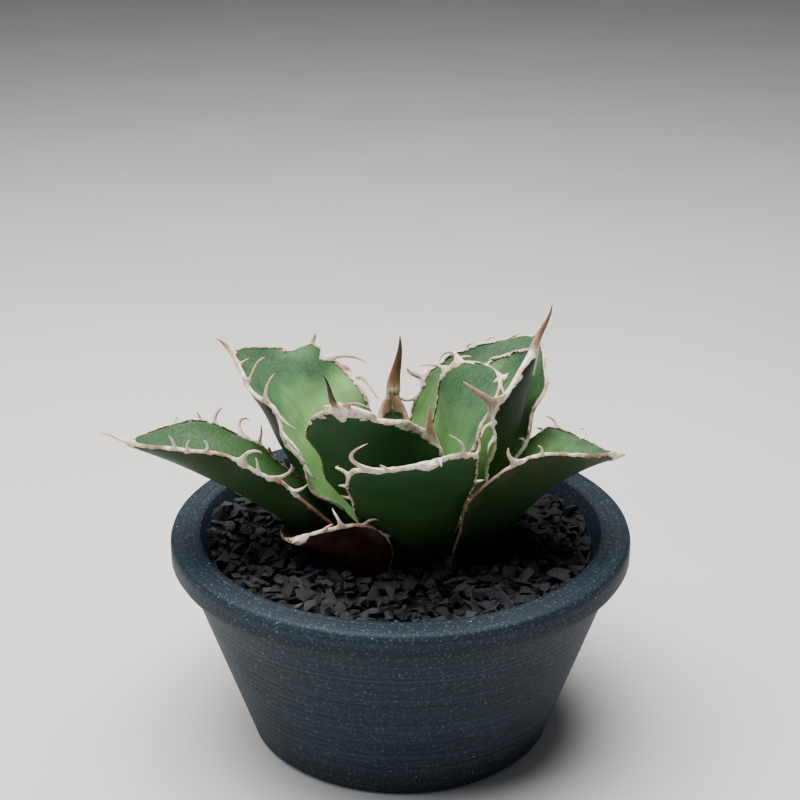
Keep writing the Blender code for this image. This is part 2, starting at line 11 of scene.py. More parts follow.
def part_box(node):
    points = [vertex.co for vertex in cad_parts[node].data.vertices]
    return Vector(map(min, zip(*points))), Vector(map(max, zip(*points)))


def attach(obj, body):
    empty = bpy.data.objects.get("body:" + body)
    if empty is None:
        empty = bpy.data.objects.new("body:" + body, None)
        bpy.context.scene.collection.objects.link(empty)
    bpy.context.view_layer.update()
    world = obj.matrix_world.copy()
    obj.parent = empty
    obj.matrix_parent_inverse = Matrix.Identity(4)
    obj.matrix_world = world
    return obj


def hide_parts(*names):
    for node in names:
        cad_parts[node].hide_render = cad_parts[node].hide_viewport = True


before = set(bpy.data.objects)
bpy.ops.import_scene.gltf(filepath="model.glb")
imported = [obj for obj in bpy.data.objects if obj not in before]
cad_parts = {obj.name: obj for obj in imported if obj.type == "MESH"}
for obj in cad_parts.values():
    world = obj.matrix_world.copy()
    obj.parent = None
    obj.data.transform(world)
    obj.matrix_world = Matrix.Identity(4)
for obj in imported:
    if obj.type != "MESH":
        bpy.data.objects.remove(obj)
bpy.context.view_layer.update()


# The pan. A shallow round pot of dark stoneware, thrown on a wheel and fired without a glaze.
# The thrower's fingers left faint rings on its wall and rim, and it has three drain holes.
# Dust of the stone chips clings to it as pale specks.
MM = 0.001
PAN_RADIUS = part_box("pan")[1][0]
PAN_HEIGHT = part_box("pan")[1][2]
RIM_WIDTH = 10.3 * MM
COLLAR_HEIGHT = 9.0 * MM
COLLAR_STEP = 4.0 * MM
FOOT_RADIUS = 50.0 * MM
WALL = 5.2 * MM
FLOOR = 6.0 * MM
RING_SPACING = 2.6 * MM
RING_DEPTH = 0.10 * MM
RING_POINTS = 6
RIM_STEPS = 200
DRAIN_HOLES = 3
DRAIN_RADIUS = 5.0 * MM
DRAIN_CIRCLE = 24.0 * MM


def sRGB(code):
    """Linear colour of an sRGB hex code."""
    parts = [int(code[k:k + 2], 16) / 255 for k in (1, 3, 5)]
    return (*[c / 12.92 if c <= 0.04045 else ((c + 0.055) / 1.055) ** 2.4 for c in parts], 1)


def new_material(name):
    """A new material, and the Object coordinates that its patterns read."""
    made = bpy.data.materials.new(name)
    made.use_nodes = True
    made.node_tree.nodes.clear()
    return made, node(made, "TexCoord", output="Object")


def node(owner, kind, *inputs, output=None, stops=(), **settings):
    """Adds a node and gives its output.

    Its kind may be followed by its operation or its type of data. Its inputs are filled in
    order, each with a value, a hex code or another node's output. A setting is one of the
    node's own or a further input by its name. Stops are a ramp's (place, hex code).
    """
    tree = owner.node_tree
    kind, _, mode = kind.partition(" ")
    added = tree.nodes.new("ShaderNode" + kind)
    if mode:
        setattr(added, "data_type" if kind == "Mix" else "operation", mode)
    named = []
    for key, value in settings.items():
        if hasattr(added, key):
            setattr(added, key, value)
        else:
            named.append((added.inputs[key.replace("_", " ")], value))
    live = [socket for socket in added.inputs if socket.enabled]
    for socket, value in [*zip(live, inputs), *named]:
        if isinstance(value, bpy.types.NodeSocket):
            tree.links.new(value, socket)
        else:
            socket.default_value = sRGB(value) if isinstance(value, str) else value
    for k, (place, code) in enumerate(stops):
        element = added.color_ramp.elements[k] if k < 2 else added.color_ramp.elements.new(place)
        element.position = place
        element.color = sRGB(code)
    if output:
        return added.outputs[output]
    return next((socket for socket in added.outputs if socket.enabled), None)


def scale_of(size):
    """Scale of a noise whose features are about so many millimetres across."""
    return 0.6 / (size * MM)


def add_object(name, data):
    """Puts a mesh, a lamp or a lens into the scene."""
    made = bpy.data.objects.new(name, data)
    bpy.context.scene.collection.objects.link(made)
    return made


def to_object(name, bm):
    """Turns a bmesh into an object, and frees it."""
    mesh = bpy.data.meshes.new(name)
    bm.to_mesh(mesh)
    bm.free()
    return add_object(name, mesh)


def add_piece(name, bm, finish, replaced):
    """Turns a bmesh into a finished piece that stands for a CAD node."""
    piece = to_object(name, bm)
    piece.data.shade_smooth()
    piece.data.materials.append(finish)
    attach(piece, "root")
    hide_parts(replaced)
    return piece


def keep_modifiers(piece):
    """Replaces a piece's mesh by what its modifiers make of it."""
    bpy.context.view_layer.update()
    evaluated = piece.evaluated_get(bpy.context.evaluated_depsgraph_get())
    made = bpy.data.meshes.new_from_object(evaluated)
    piece.modifiers.clear()
    piece.data = made


def spun(profile, steps):
    """A closed shape turned about +Z from (radius, height) points with both ends on the axis."""
    bm = bmesh.new()
    points = [bm.verts.new((radius, 0, height)) for radius, height in profile]
    edges = [bm.edges.new(pair) for pair in zip(points, points[1:])]
    bmesh.ops.spin(bm, geom=points + edges, cent=(0, 0, 0), axis=(0, 0, 1), angle=math.tau,
                   steps=steps, use_merge=True)
    bmesh.ops.remove_doubles(bm, verts=bm.verts[:], dist=0.001 * MM)
    bmesh.ops.recalc_face_normals(bm, faces=bm.faces[:])
    return bm


def ringed(start, end):
    """Points up a straight stretch of wall, with the thrower's rings raised on it."""
    run = Vector(end) - Vector(start)
    rings = round(run.length / RING_SPACING)
    out = Vector((-run.y, run.x)).normalized()
    points = []
    for k in range(RING_POINTS * rings + 1):
        share = k / (RING_POINTS * rings)
        swell = RING_DEPTH * math.sin(share * rings * math.tau) * math.sin(share * math.pi)
        points.append(tuple(Vector(start) + run * share + out * swell))
    return points


# Slate stoneware: matte and dark slate blue, with turned lines about 0.8 mm apart that show as
# faint rings on the rim, a cloudy firing, and pale specks of stone dust.
clay, place = new_material("slate_stoneware")
level = node(clay, "VectorMath MULTIPLY", place, (1, 1, 0))
radius = node(clay, "VectorMath LENGTH", level)
height = node(clay, "SeparateXYZ", place, output="Z")
turned = node(clay, "CombineXYZ", radius, height)
lines = node(clay, "TexNoise", turned, scale_of(0.8), 4.0)
cloud = node(clay, "TexNoise", place, scale_of(14), 3.0)
fine = node(clay, "TexNoise", place, scale_of(0.5), 3.0)
body = node(clay, "ValToRGB", lines, stops=((0.30, "#171f27"), (0.52, "#202b34"), (0.72, "#303f4e")))
fired = node(clay, "Math MULTIPLY", cloud, 0.55)
body = node(clay, "Mix RGBA", fired, body, "#19232b")
dust = node(clay, "MapRange", fine, 0.56, 0.75, 0.0, 0.16)
for spacing in (2.6 * MM, 1.3 * MM):
    away = node(clay, "TexVoronoi", place, 1 / spacing, output="Distance")
    own = node(clay, "SeparateColor", node(clay, "TexVoronoi", place, 1 / spacing, output="Color"))
    size = node(clay, "Math MULTIPLY_ADD", own, 0.20, -0.09)
    dot = node(clay, "Math LESS_THAN", away, size)
    dot = node(clay, "Math MULTIPLY", dot, 0.6)
    dust = node(clay, "Math MAXIMUM", dust, dot)
body = node(clay, "Mix RGBA", dust, body, "#b4bbc1")
rough = node(clay, "MapRange", cloud, 0.0, 1.0, 0.50, 0.66)
relief = node(clay, "Math MULTIPLY_ADD", lines, 0.7, node(clay, "Math MULTIPLY", fine, 0.5))
uneven = node(clay, "Bump", Distance=0.06 * MM, Height=relief)
node(clay, "OutputMaterial",
     node(clay, "BsdfPrincipled", Base_Color=body, Roughness=rough, Normal=uneven,
          Specular_IOR_Level=0.16))

collar = PAN_RADIUS - COLLAR_STEP
under = PAN_HEIGHT - COLLAR_HEIGHT
inner = PAN_RADIUS - RIM_WIDTH
outline = [
    (0, 0), (FOOT_RADIUS - 1.6 * MM, 0), (FOOT_RADIUS, 1.6 * MM),
    *ringed((FOOT_RADIUS, 1.8 * MM), (collar, under)),
    (PAN_RADIUS - 0.8 * MM, under), (PAN_RADIUS, under + 1.4 * MM),
    (PAN_RADIUS, PAN_HEIGHT - 2.4 * MM), (PAN_RADIUS - 0.5 * MM, PAN_HEIGHT - 0.9 * MM),
    (PAN_RADIUS - 1.7 * MM, PAN_HEIGHT - 0.1 * MM), (PAN_RADIUS - 3.0 * MM, PAN_HEIGHT),
    (inner + 2.0 * MM, PAN_HEIGHT - 0.1 * MM), (inner + 0.7 * MM, PAN_HEIGHT - 0.4 * MM),
    (inner, PAN_HEIGHT - 1.4 * MM),
    (FOOT_RADIUS - WALL + 1.4 * MM, FLOOR + 1.5 * MM), (FOOT_RADIUS - WALL - 1.0 * MM, FLOOR), (0, FLOOR),
]
pan = add_piece("pan_thrown", spun(outline, RIM_STEPS), clay, "pan")

drills = bmesh.new()
for k in range(DRAIN_HOLES):
    angle = math.tau * (k + 0.25) / DRAIN_HOLES
    drill = bmesh.ops.create_cone(drills, cap_ends=True, segments=40, radius1=DRAIN_RADIUS,
                                  radius2=DRAIN_RADIUS, depth=4 * FLOOR)
    bmesh.ops.translate(drills, verts=drill["verts"],
                        vec=(DRAIN_CIRCLE * math.cos(angle), DRAIN_CIRCLE * math.sin(angle), 0))
cutter = to_object("drills", drills)
drain = pan.modifiers.new("drains", "BOOLEAN")
drain.operation = "DIFFERENCE"
drain.object = cutter
keep_modifiers(pan)
bpy.data.objects.remove(cutter)
pan.data.set_sharp_from_angle(angle=math.radians(40))


# The potting mix. Pumice grit, bark and a little peat, poured in and firmed round the roots.
# It is seen through the drain holes alone: damp and dark, with pale pumice grains of about 2 mm.
GRAIN = 2.2 * MM
grit, place = new_material("pumice_and_bark")
away = node(grit, "TexVoronoi", place, 1 / GRAIN, output="Distance")
own = node(grit, "SeparateColor", node(grit, "TexVoronoi", place, 1 / GRAIN, output="Color"))
body = node(grit, "ValToRGB", own,
            stops=((0.0, "#2a211b"), (0.45, "#3b3027"), (0.78, "#54463a"), (0.95, "#a79c8c")))
grains = node(grit, "Math SUBTRACT", 1.0, away)
bed = node(grit, "Bump", Distance=0.8 * MM, Height=grains)
node(grit, "OutputMaterial", node(grit, "BsdfPrincipled", Base_Color=body, Roughness=0.95, Normal=bed))
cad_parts["potting_mix"].data.materials.clear()
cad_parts["potting_mix"].data.materials.append(grit)


# The stem. A squat cone of fibrous tissue that the leaves' feet cover almost wholly, rooted in
# the mix. Old leaves have left rings of scars on its flank. It is pale green at the crown and
# straw coloured and fibrous below.
STEM_CENTRE = np.array((4.0, -2.0, 0.0)) * MM
STEM_TOP = PAN_HEIGHT + 1.0 * MM
STEM_SLOPE = 0.60
STEM_RADIUS = 27.5 * MM
ROOT_RADIUS = 11.0 * MM
SCAR_HEIGHT = 0.35 * MM
FLANK_STEPS = 27

tissue, place = new_material("stem_tissue")
up = node(tissue, "MapRange", node(tissue, "SeparateXYZ", place, output="Z"),
          PAN_HEIGHT - 14 * MM, PAN_HEIGHT, -0.25, 0.75)
fibre = node(tissue, "TexNoise", place, scale_of(0.9), 4.0)
body = node(tissue, "ValToRGB", node(tissue, "Math MULTIPLY_ADD", fibre, 0.5, up),
            stops=((0.10, "#4a3d2b"), (0.45, "#6f6a45"), (0.75, "#6c7b4c"), (1.0, "#7f935f")))
rough = node(tissue, "Bump", Distance=0.3 * MM, Height=fibre)
node(tissue, "OutputMaterial", node(tissue, "BsdfPrincipled", Base_Color=body, Roughness=0.7, Normal=rough))

root_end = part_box("stem")[0][2]
flank = STEM_TOP - STEM_SLOPE * STEM_RADIUS
outline = [(0, STEM_TOP)]
for k in range(1, FLANK_STEPS + 1):
    reach = STEM_RADIUS * k / FLANK_STEPS
    scar = SCAR_HEIGHT * (math.sin(k * math.tau / 5) - 1)
    outline.append((reach, STEM_TOP - STEM_SLOPE * reach + scar))
outline += [(STEM_RADIUS, flank - 2.0 * MM), (ROOT_RADIUS, flank - 6.0 * MM),
            (0.5 * ROOT_RADIUS, root_end + 2.0 * MM), (0, root_end)]
stem = spun(outline, 96)
bmesh.ops.translate(stem, verts=stem.verts[:], vec=STEM_CENTRE)
add_piece("stem_scarred", stem, tissue, "stem")


# The leaves. Thick stiff blades, cupped along the midrib, that grow in a spiral from the stem,
# the youngest still rolled round the growing point. Each has a horny edge that carries teeth
# and ends in a spine. Each leaf is named as its solid is.
@dataclass
class Leaf:
    """One leaf. Lengths are millimetres, angles degrees, and stations percent of the way to the tip.

    Left and right are as seen from the stem.
    """

    name: str
    azimuth: float  # from +X, turning left
    foot: float  # distance of its foot from the stem's axis
    length: float
    half_width: float  # from midrib to margin, along the cupped surface at the belly
    rise: tuple  # slope of the midrib at the foot, middle and tip
    cup: float  # how far the surface turns from midrib to margin
    bend: float = 0.0  # how far the midrib turns left by the tip
    roll: float = 0.0  # how far the blade tips over to its right by the tip
    belly: float = 0.55  # share of the length at which it is widest
    thick: float = 5.2  # of the midrib at the belly
    wave: float = 0.5  # height of the margin's ripple
    spine: tuple = (5, 0, 10, 0, 0)  # length, turn to the left, lift, and how both grow along it
    spine_base: float = 0.9  # half its width at the base
    spine_tone: float = 0.5  # from bone white through tan to dark brown
    cap: tuple = (3, 1.4, 0)  # how far its base runs down the back, its half width there, and its tone
    left: tuple = ()  # teeth: station, length, lean, curl, growth of the curl, rise, stoutness, tan
    right: tuple = ()
    mounds: tuple = ()  # swellings and notches of the edge: side, station, height, reach
    patches: tuple = ()  # where the horny band is broader or narrower: side, station, change, reach
    horn: tuple = (1.0, 0.6)  # width of the horny band near the tip and lower down
    brown: float = 1.0  # how brown the band is between the teeth
    age: float = 0.0  # from fresh green to purple brown
    deep: tuple = (0.4, 0.3, 0.5)  # painted shade that darkens the green: inner face low and high, outer face


LEAVES = (
    Leaf("leaf_01_bud", 135, 4.0, 46, 9.0, (77, 80, 84), 138,
         belly=0.45, thick=4.2, wave=0.2, bend=-55, horn=(3.2, 2.0), deep=(0.5, 0.5, 0.3),
         spine=(19, -60, 50, 74, -70), spine_base=2.3, spine_tone=0.8, cap=(6, 2.7, 0.08)),
    Leaf("leaf_02_front_inner", 241, 8.0, 69.5, 23.0, (55, 78, 52), 31,
         belly=0.62, thick=4.8, bend=-22, roll=23, wave=1.0, horn=(2.6, 1.0), brown=0.45,
         deep=(0.4, 0.2, 0.0), spine=(11, 50, 80, -80, -50), spine_base=1.15, spine_tone=1.0,
         cap=(6.5, 3.4, 0), mounds=((1, 87.5, -3.2, 2.0), (1, 83.5, 1.6, 2.4), (1, 63, 0.8, 3.0)),
         patches=((1, 95, 5.0, 5.0), (1, 80, 3.2, 4.5), (-1, 95, 1.5, 4.0)),
         left=((97, 11, -15, -110, -10, -5, 0.7, 1.0), (69, 11.5, 70, -55, 40, 0, 1.8, 0.9)),
         right=((97, 4, -40, -35, -10, 0),)),
    Leaf("leaf_03_right_inner", 3, 11.8, 64, 21.0, (84, 110, 26), 19,
         belly=0.72, bend=-9, roll=22, wave=1.0, horn=(1.2, 0.8), brown=0.6, deep=(0.0, 0.5, 0.3),
         patches=((-1, 94, 1.6, 3.5), (1, 96, 0.9, 3.0)), spine=(2.5, 45, 60, 0, 0), spine_base=1.2,
         spine_tone=0.0, cap=(5, 1.6, 0),
         left=((82, 11, 15, -115, -70, 5, 1.3), (80, 8, 25, 150, -55, -15), (77, 10.5, -20, -40, -25, 25)),
         right=((97, 5.5, -40, -55, 15, -10, 1.0, 0.6),)),
    Leaf("leaf_04_front", 267, 14.2, 67.5, 20.5, (63, 80, 19), 12,
         belly=0.72, bend=29, roll=3, wave=0.8, horn=(1.4, 0.9), brown=0.5, deep=(0.4, 0.3, 0.0),
         patches=((-1, 88, 0.9, 2.0), (-1, 96, 0.8, 1.2), (1, 90, 0.9, 2.0), (1, 80, 1.0, 1.5)),
         spine=(2.5, 0, 0, 0, 0), spine_base=1.1, spine_tone=0.0, cap=(5, 1.2, 0),
         mounds=((1, 96, -1.0, 3.0), (-1, 80, 0.6, 3.0)),
         left=((97, 4, 45, 10, 5, -30), (89, 12, 30, 25, 100, 30, 0.7), (79, 7, 15, 65, 5, 45, 0.8),
               (58, 4, -5, -10, 10, 10), (43, 4, 5, 90, 30, 0), (31, 3, 20, 0, 0, 25)),
         right=((90, 4, 25, -50, -55, 20), (86, 19, -40, 70, 100, 20), (72, 8.5, 75, -155, -90, 30),
                (63, 3, 15, -40, -20, 5), (49, 4, 5, 50, 30, -10))),
    Leaf("leaf_05_back_left", 152, 14.0, 78.5, 30.5, (47, 65, 35), 43,
         belly=0.62, thick=4.8, bend=15, roll=4, wave=1.2, horn=(1.6, 0.9), brown=0.4,
         deep=(0.6, 0.0, 0.6), patches=((1, 95, 1.2, 3.0), (1, 86, 1.6, 2.5), (1, 78, 1.0, 2.0)),
         spine=(6.5, -25, 50, 30, -80), spine_base=1.0, spine_tone=0.6,
         mounds=((-1, 83, -3.2, 1.8), (-1, 78, 3.0, 2.8), (-1, 72.5, -2.6, 2.0), (1, 86, 1.2, 3.0)),
         left=((93, 5, 115, 50, 10, 50), (86, 13, -75, 110, 125, 55), (74, 10.5, 30, -25, -30, 50),
               (67, 8, -65, -70, -30, 30), (59, 12, -15, -60, -25, 15), (43, 5.5, -45, -45, -25, 15)),
         right=((88, 3, -35, 15, 5, 20), (79, 4, -35, 10, 5, 25, 1.6, 1.0), (71, 16, -55, -45, -30, 15),
                (65, 6, -30, -125, -30, 10), (60, 14, -10, -260, 190, -5), (54, 7.5, -65, -95, 65, 15))),
    Leaf("leaf_06_right", 22, 15.8, 71.5, 26.5, (86, 43, 83), 38,
         belly=0.70, thick=6.2, bend=-43, roll=1, wave=0.8, horn=(2.4, 0.9), brown=0.4,
         deep=(0.4, 0.3, 1.0), patches=((-1, 93, 1.3, 5.0), (1, 95, 1.0, 4.0)), spine=(16, 20, -80, 0, 90),
         spine_base=1.7, spine_tone=0.45, cap=(9, 2.4, 0), mounds=((-1, 80, 1.2, 4.5),),
         left=((78, 4, -60, -45, -15, 25),),
         right=((80, 15.5, 0, -50, 50, 30, 1.5, 0.8), (70, 9, 40, -125, 30, -5), (64, 6.5, 5, -70, -45, 0),
                (59, 5, -90, 0, -10, 15))),
    Leaf("leaf_07_back_right", 49, 19.6, 75, 27.0, (76, 47, 47), 46,
         belly=0.54, thick=4.2, bend=-14, roll=2, wave=0.9, horn=(1.0, 0.8), brown=0.5, age=0.02,
         deep=(0.3, 0.5, 0.5), spine=(4.5, 20, 20, 5, 5), spine_tone=0.0, cap=(2, 1.0, 0),
         mounds=((1, 62, 1.0, 3.0), (1, 73, 0.8, 3.0)),
         left=((90, 7, 80, 10, 0, 20, 0.8), (85, 5, 10, 130, 15, 5), (78, 5, 45, 40, 45, 20),
               (60, 8.5, -10, -70, 110, 25, 1.8), (52, 9, -60, 60, 40, 30, 1.2), (42, 3, 15, 0, 0, 20)),
         right=((92, 4, -75, 5, 0, -5), (82, 4, -75, -5, -5, -10), (70, 7, -50, -50, -50, 0),
                (59, 9, -90, 80, 60, 10), (47, 6, 100, -105, -60, 35))),
    Leaf("leaf_08_left", 194, 19.4, 88, 19.5, (57, 29, 16), 54,
         belly=0.69, thick=5.8, bend=-11, roll=9, horn=(0.9, 0.55), age=0.04, deep=(0.6, 0.8, 0.8),
         spine=(9, -20, 70, 30, -100), spine_base=0.85, spine_tone=0.12,
         mounds=((1, 50, 0.9, 4.0), (1, 35, 0.8, 4.0), (-1, 50, 0.7, 3.5)),
         left=((85, 6, -15, 0, 65, 15), (81, 4, 20, -35, -40, 25), (76, 5, -25, 40, 55, 15),
               (64, 10, 25, -40, -130, 15, 1.2), (58, 5, 30, 30, 10, 30), (52, 10, -30, -5, 95, 5),
               (44, 5.5, -20, 20, 10, 20)),
         right=((84, 3, -15, -40, -20, 30), (75, 3.5, 20, 30, 10, 25), (70, 6.5, 15, -25, -40, 25, 1.2),
                (57, 11, 60, -25, -145, -10), (52, 6.5, -5, 35, 30, 20), (46, 6, 60, 95, 50, 50),
                (39, 4, 20, 115, 70, 35))),
    Leaf("leaf_09_right_low", 344, 23.4, 66.5, 30.0, (87, 41, 11), 44,
         belly=0.60, bend=17, roll=-21, horn=(1.0, 0.5), age=0.08, deep=(0.6, 0.2, 1.0),
         spine=(2.5, 0, -30, 0, 0), spine_base=1.3, spine_tone=0.2,
         mounds=((1, 52, 0.8, 3.0), (1, 66, 0.8, 3.0), (-1, 42, 0.8, 3.0)),
         left=((82, 7, 10, -95, -75, 5), (70, 6.5, -30, -55, -20, 15), (62, 3.5, -5, -55, -15, 5)),
         right=((84, 3, 45, 80, 25, 0), (74, 4.5, 20, -30, -65, 15), (66, 7, -15, -5, 70, 15, 1.4))),
    Leaf("leaf_10_front_left_low", 219, 22.6, 36.5, 20.5, (55, 60, 12), 42,
         belly=0.44, thick=4.0, bend=13, roll=31, wave=0.4, horn=(0.8, 0.5), age=1.0,
         spine=(3, 20, -20, 0, 0), spine_base=1.0, spine_tone=0.15, cap=(1.5, 1.0, 0),
         left=((88, 4, -30, -55, -30, 15), (80, 7, 5, 50, 50, 60), (66, 6, 20, -80, -40, -10),
               (51, 3, -45, -55, 0, 25)),
         right=((94, 3, 15, 60, 35, 15), (43, 3, -20, 45, 45, 45))),
    Leaf("leaf_11_back_low", 126, 22.6, 55.5, 17.5, (67, 24, 6), 50,
         thick=4.8, brown=0.9, age=0.12,
         left=((88, 4, 0, 30, 0, 10), (75, 5, 10, -50, -20, 10), (60, 7, -20, 70, 40, 10),
               (46, 4, 0, 30, 0, 10)),
         right=((86, 4, 0, 30, 0, 10), (72, 5, 0, 50, 20, 10), (56, 6, -20, 60, 30, 10),
                (43, 4, 0, 30, 0, 10))),
    Leaf("leaf_12_back_right_low", 66, 23.6, 54, 16.0, (79, 22, 4), 54,
         brown=0.9, age=0.12,
         left=((88, 4, 0, 30, 0, 10), (74, 6, 0, 60, 30, 10), (60, 5, 10, -40, -20, 10),
               (46, 4, 0, 30, 0, 10)),
         right=((86, 4, 0, 30, 0, 10), (72, 5, 0, -40, -20, 10), (58, 6, -20, 70, 40, 10),
                (44, 4, 0, 30, 0, 10))),
)

FOOT_SHARE = 0.60  # width at the foot as a share of the width at the belly
FOOT_THICKNESS = 3.2 * MM
TIP_THICKNESS = 2.4 * MM
EDGE_THICKNESS = 0.9 * MM
TIP_BLUNTNESS = 2.1
WIDEST_CLASP = 1.35  # how far round the stem a foot may reach to each side, in radians
NARROWEST_GREEN = 1.3 * MM  # from midrib to band, and past it the tip is all horn
HORN_START = 0.20  # where along the leaf the horny band begins
BARE_HORN = 0.55  # share of the band with no green under it
ROUND_EDGE = 0.06  # share of the width over which the two faces close
FOLD_DEPTH = 0.14 * MM
DENT_DEPTH = 0.50 * MM
MIDRIB_STEPS = 40
BLADE_COLUMNS = 110
BLADE_ROWS = 44


def smooth_step(x):
    x = np.clip(x, 0.0, 1.0)
    return x * x * (3 - 2 * x)


def mix(a, b, share):
    return a + (b - a) * share


def unit(vectors):
    return vectors / np.linalg.norm(vectors, axis=-1, keepdims=True)


def rough_noise(x, y, seed):
    """Smooth noise of about -1 to 1 over arrays of places, with features about 1 across."""
    return np.array([noise.noise(Vector((a, b, seed))) for a, b in zip(x, y)])


class Blade:
    """The surface of one leaf, at s from 0 at its foot to 1 at its tip, and at distances across."""

    def __init__(self, leaf):
        self.leaf = leaf
        self.length = leaf.length * MM
        self.half_width = leaf.half_width * MM
        self.teeth = {1: leaf.left, -1: leaf.right}
        self.frames = self.trace_midrib()
        self.green_end = self.find_green_end()

    def trace_midrib(self):
        """Rows of place, direction, sideways direction and the inner face's normal, foot to tip."""
        leaf = self.leaf
        s = np.arange(MIDRIB_STEPS + 1)[:, None] / MIDRIB_STEPS
        low, middle, tip = leaf.rise
        rise = np.radians((1 - s) ** 2 * low + 2 * s * (1 - s) * middle + s * s * tip)
        azimuth = math.radians(leaf.azimuth)
        turn = azimuth + math.radians(leaf.bend) * s * s
        along = np.hstack((np.cos(rise) * np.cos(turn), np.cos(rise) * np.sin(turn), np.sin(rise)))
        side = np.hstack((-np.sin(turn), np.cos(turn), 0 * s))
        face = np.cross(along, side)
        tilt = math.radians(leaf.roll) * s
        side, face = (side * np.cos(tilt) + face * np.sin(tilt), face * np.cos(tilt) - side * np.sin(tilt))
        radius = leaf.foot * MM
        foot = STEM_CENTRE + (radius * math.cos(azimuth), radius * math.sin(azimuth),
                              STEM_TOP - STEM_SLOPE * radius)
        steps = np.vstack((np.zeros(3), along[:-1])) * self.length / MIDRIB_STEPS
        return np.stack((foot + np.cumsum(steps, axis=0), along, side, face), axis=1)

    def frame(self, s):
        """The midrib's frame at s, on a smooth curve through its rows."""
        x = np.clip(s, 0.0, 1.0) * MIDRIB_STEPS
        i = np.minimum(x.astype(int), MIDRIB_STEPS - 1)
        t = (x - i)[..., None, None]
        before, here, after, beyond = (self.frames[np.clip(i + k, 0, MIDRIB_STEPS)] for k in (-1, 0, 1, 2))
        curve = 2 * before - 5 * here + 4 * after - beyond + t * (3 * (here - after) + beyond - before)
        return np.moveaxis(here + 0.5 * t * (after - before + t * curve), -2, 0)

    def bell(self, s, station, reach):
        """1 at a station, and falling off within a reach of so many millimetres."""
        return np.exp(-((s - station / 100) * self.leaf.length / reach) ** 2)

    def width(self, s, side=0):
        """Distance from the midrib to the edge, with the mounds of one side where it is given."""
        belly = self.leaf.belly
        growing = mix(FOOT_SHARE, 1, np.sin(math.pi / 2 * s / belly) ** 2)
        closing = 1 - (np.clip(s - belly, 0, 1) / (1 - belly)) ** TIP_BLUNTNESS
        swell = 0.0
        for mound_side, station, height, reach in self.leaf.mounds:
            swell = swell + np.where(side == mound_side, height * MM * self.bell(s, station, reach), 0.0)
        return self.half_width * np.where(s < belly, growing, closing) + swell * np.minimum(1, 8 * (1 - s))

    def horn_width(self, s):
        near_tip, lower = self.leaf.horn
        full = mix(lower, near_tip, smooth_step((s - 0.6) / 0.35)) * MM
        return np.where(s < HORN_START, 0.0, mix(0.5 * MM, full, smooth_step((s - HORN_START) / 0.25)))

    def find_green_end(self):
        s = np.arange(0.75, 1.0, 0.002)
        narrow = self.width(s) - self.horn_width(s) < NARROWEST_GREEN
        return float(s[np.argmax(narrow)])

    def thickness(self, s, share):
        rib = mix(FOOT_THICKNESS, self.leaf.thick * MM, smooth_step(s / 0.35))
        rib = mix(rib, TIP_THICKNESS, smooth_step((s - 0.4) / 0.6))
        return mix(rib, EDGE_THICKNESS, np.minimum(1.0, abs(share)) ** 2)

    def surface(self, s, across):
        """Points and normals of the inner face, at distances across from the midrib, left positive."""
        place, _, side, face = self.frame(s)
        clasp = min(WIDEST_CLASP, self.half_width * FOOT_SHARE / (self.leaf.foot * MM))
        opened = smooth_step(s / 0.4)
        turned = mix(clasp, math.radians(self.leaf.cup), opened)
        radius = self.half_width * mix(FOOT_SHARE, 1, opened) / turned
        angle = (across / radius)[..., None]
        radius = radius[..., None]
        normal = face * np.cos(angle) - side * np.sin(angle)
        point = place + side * radius * np.sin(angle) + face * radius * (1 - np.cos(angle))
        share = np.minimum(1.0, abs(across) / np.maximum(self.width(s), 2 * MM))
        phase = self.leaf.azimuth + np.where(across > 0, 1.7, 0)
        ripple = np.sin(s * self.leaf.length / 3.1 + phase)
        ripple = ripple * smooth_step(s / 0.3) * np.minimum(1, 5 * (1 - s))
        return point + normal * (self.leaf.wave * MM * ripple * share ** 3)[..., None], normal

    def point(self, s, across, depth):
        """Points at depths under the inner face."""
        place, normal = self.surface(s, across)
        return place - normal * np.asarray(depth)[..., None]


def set_values(mesh, **values):
    """Keeps numbers for the points of a mesh, one or an array under each name."""
    for name, value in values.items():
        layer = mesh.attributes.new(name, "FLOAT", "POINT")
        spread = np.broadcast_to(np.asarray(value, dtype=np.float32), len(mesh.vertices))
        layer.data.foreach_set("value", np.ascontiguousarray(spread))


# Leaf skin under a bloom of wax. The inner face is pale and milky and yellower towards the foot. Its colour
# ramp darkens it towards the foot as painted shade from the leaves in front, and towards the tip, where it
# is also blotched darker.
# The outer face is deep green and satin, with painted shade added. Old leaves turn purple brown, from the
# edges and the tip.
wax, place = new_material("waxy_leaf_cuticle")
along, across, outer, age, seed, deep_inner, deep_outer = (
    node(wax, "Attribute", attribute_name=name, output="Fac")
    for name in ("along", "across", "outer", "age", "seed", "deep_inner", "deep_outer"))
edge = node(wax, "Math ABSOLUTE", across)
blotch = node(wax, "TexNoise", place, scale_of(9), 2.0)
patch = node(wax, "TexNoise", place, scale_of(3.5), 4.0)
bloom = node(wax, "TexNoise", place, scale_of(0.45), 2.0)
ribs = node(wax, "CombineXYZ", node(wax, "Math MULTIPLY", along, 2.2),
            node(wax, "Math MULTIPLY", across, 7.0), seed)
streak = node(wax, "TexNoise", ribs, 1.0, 3.0)
drift = node(wax, "Math MULTIPLY_ADD", blotch, 0.45, -0.225)
lit = node(wax, "Math ADD", along, drift)
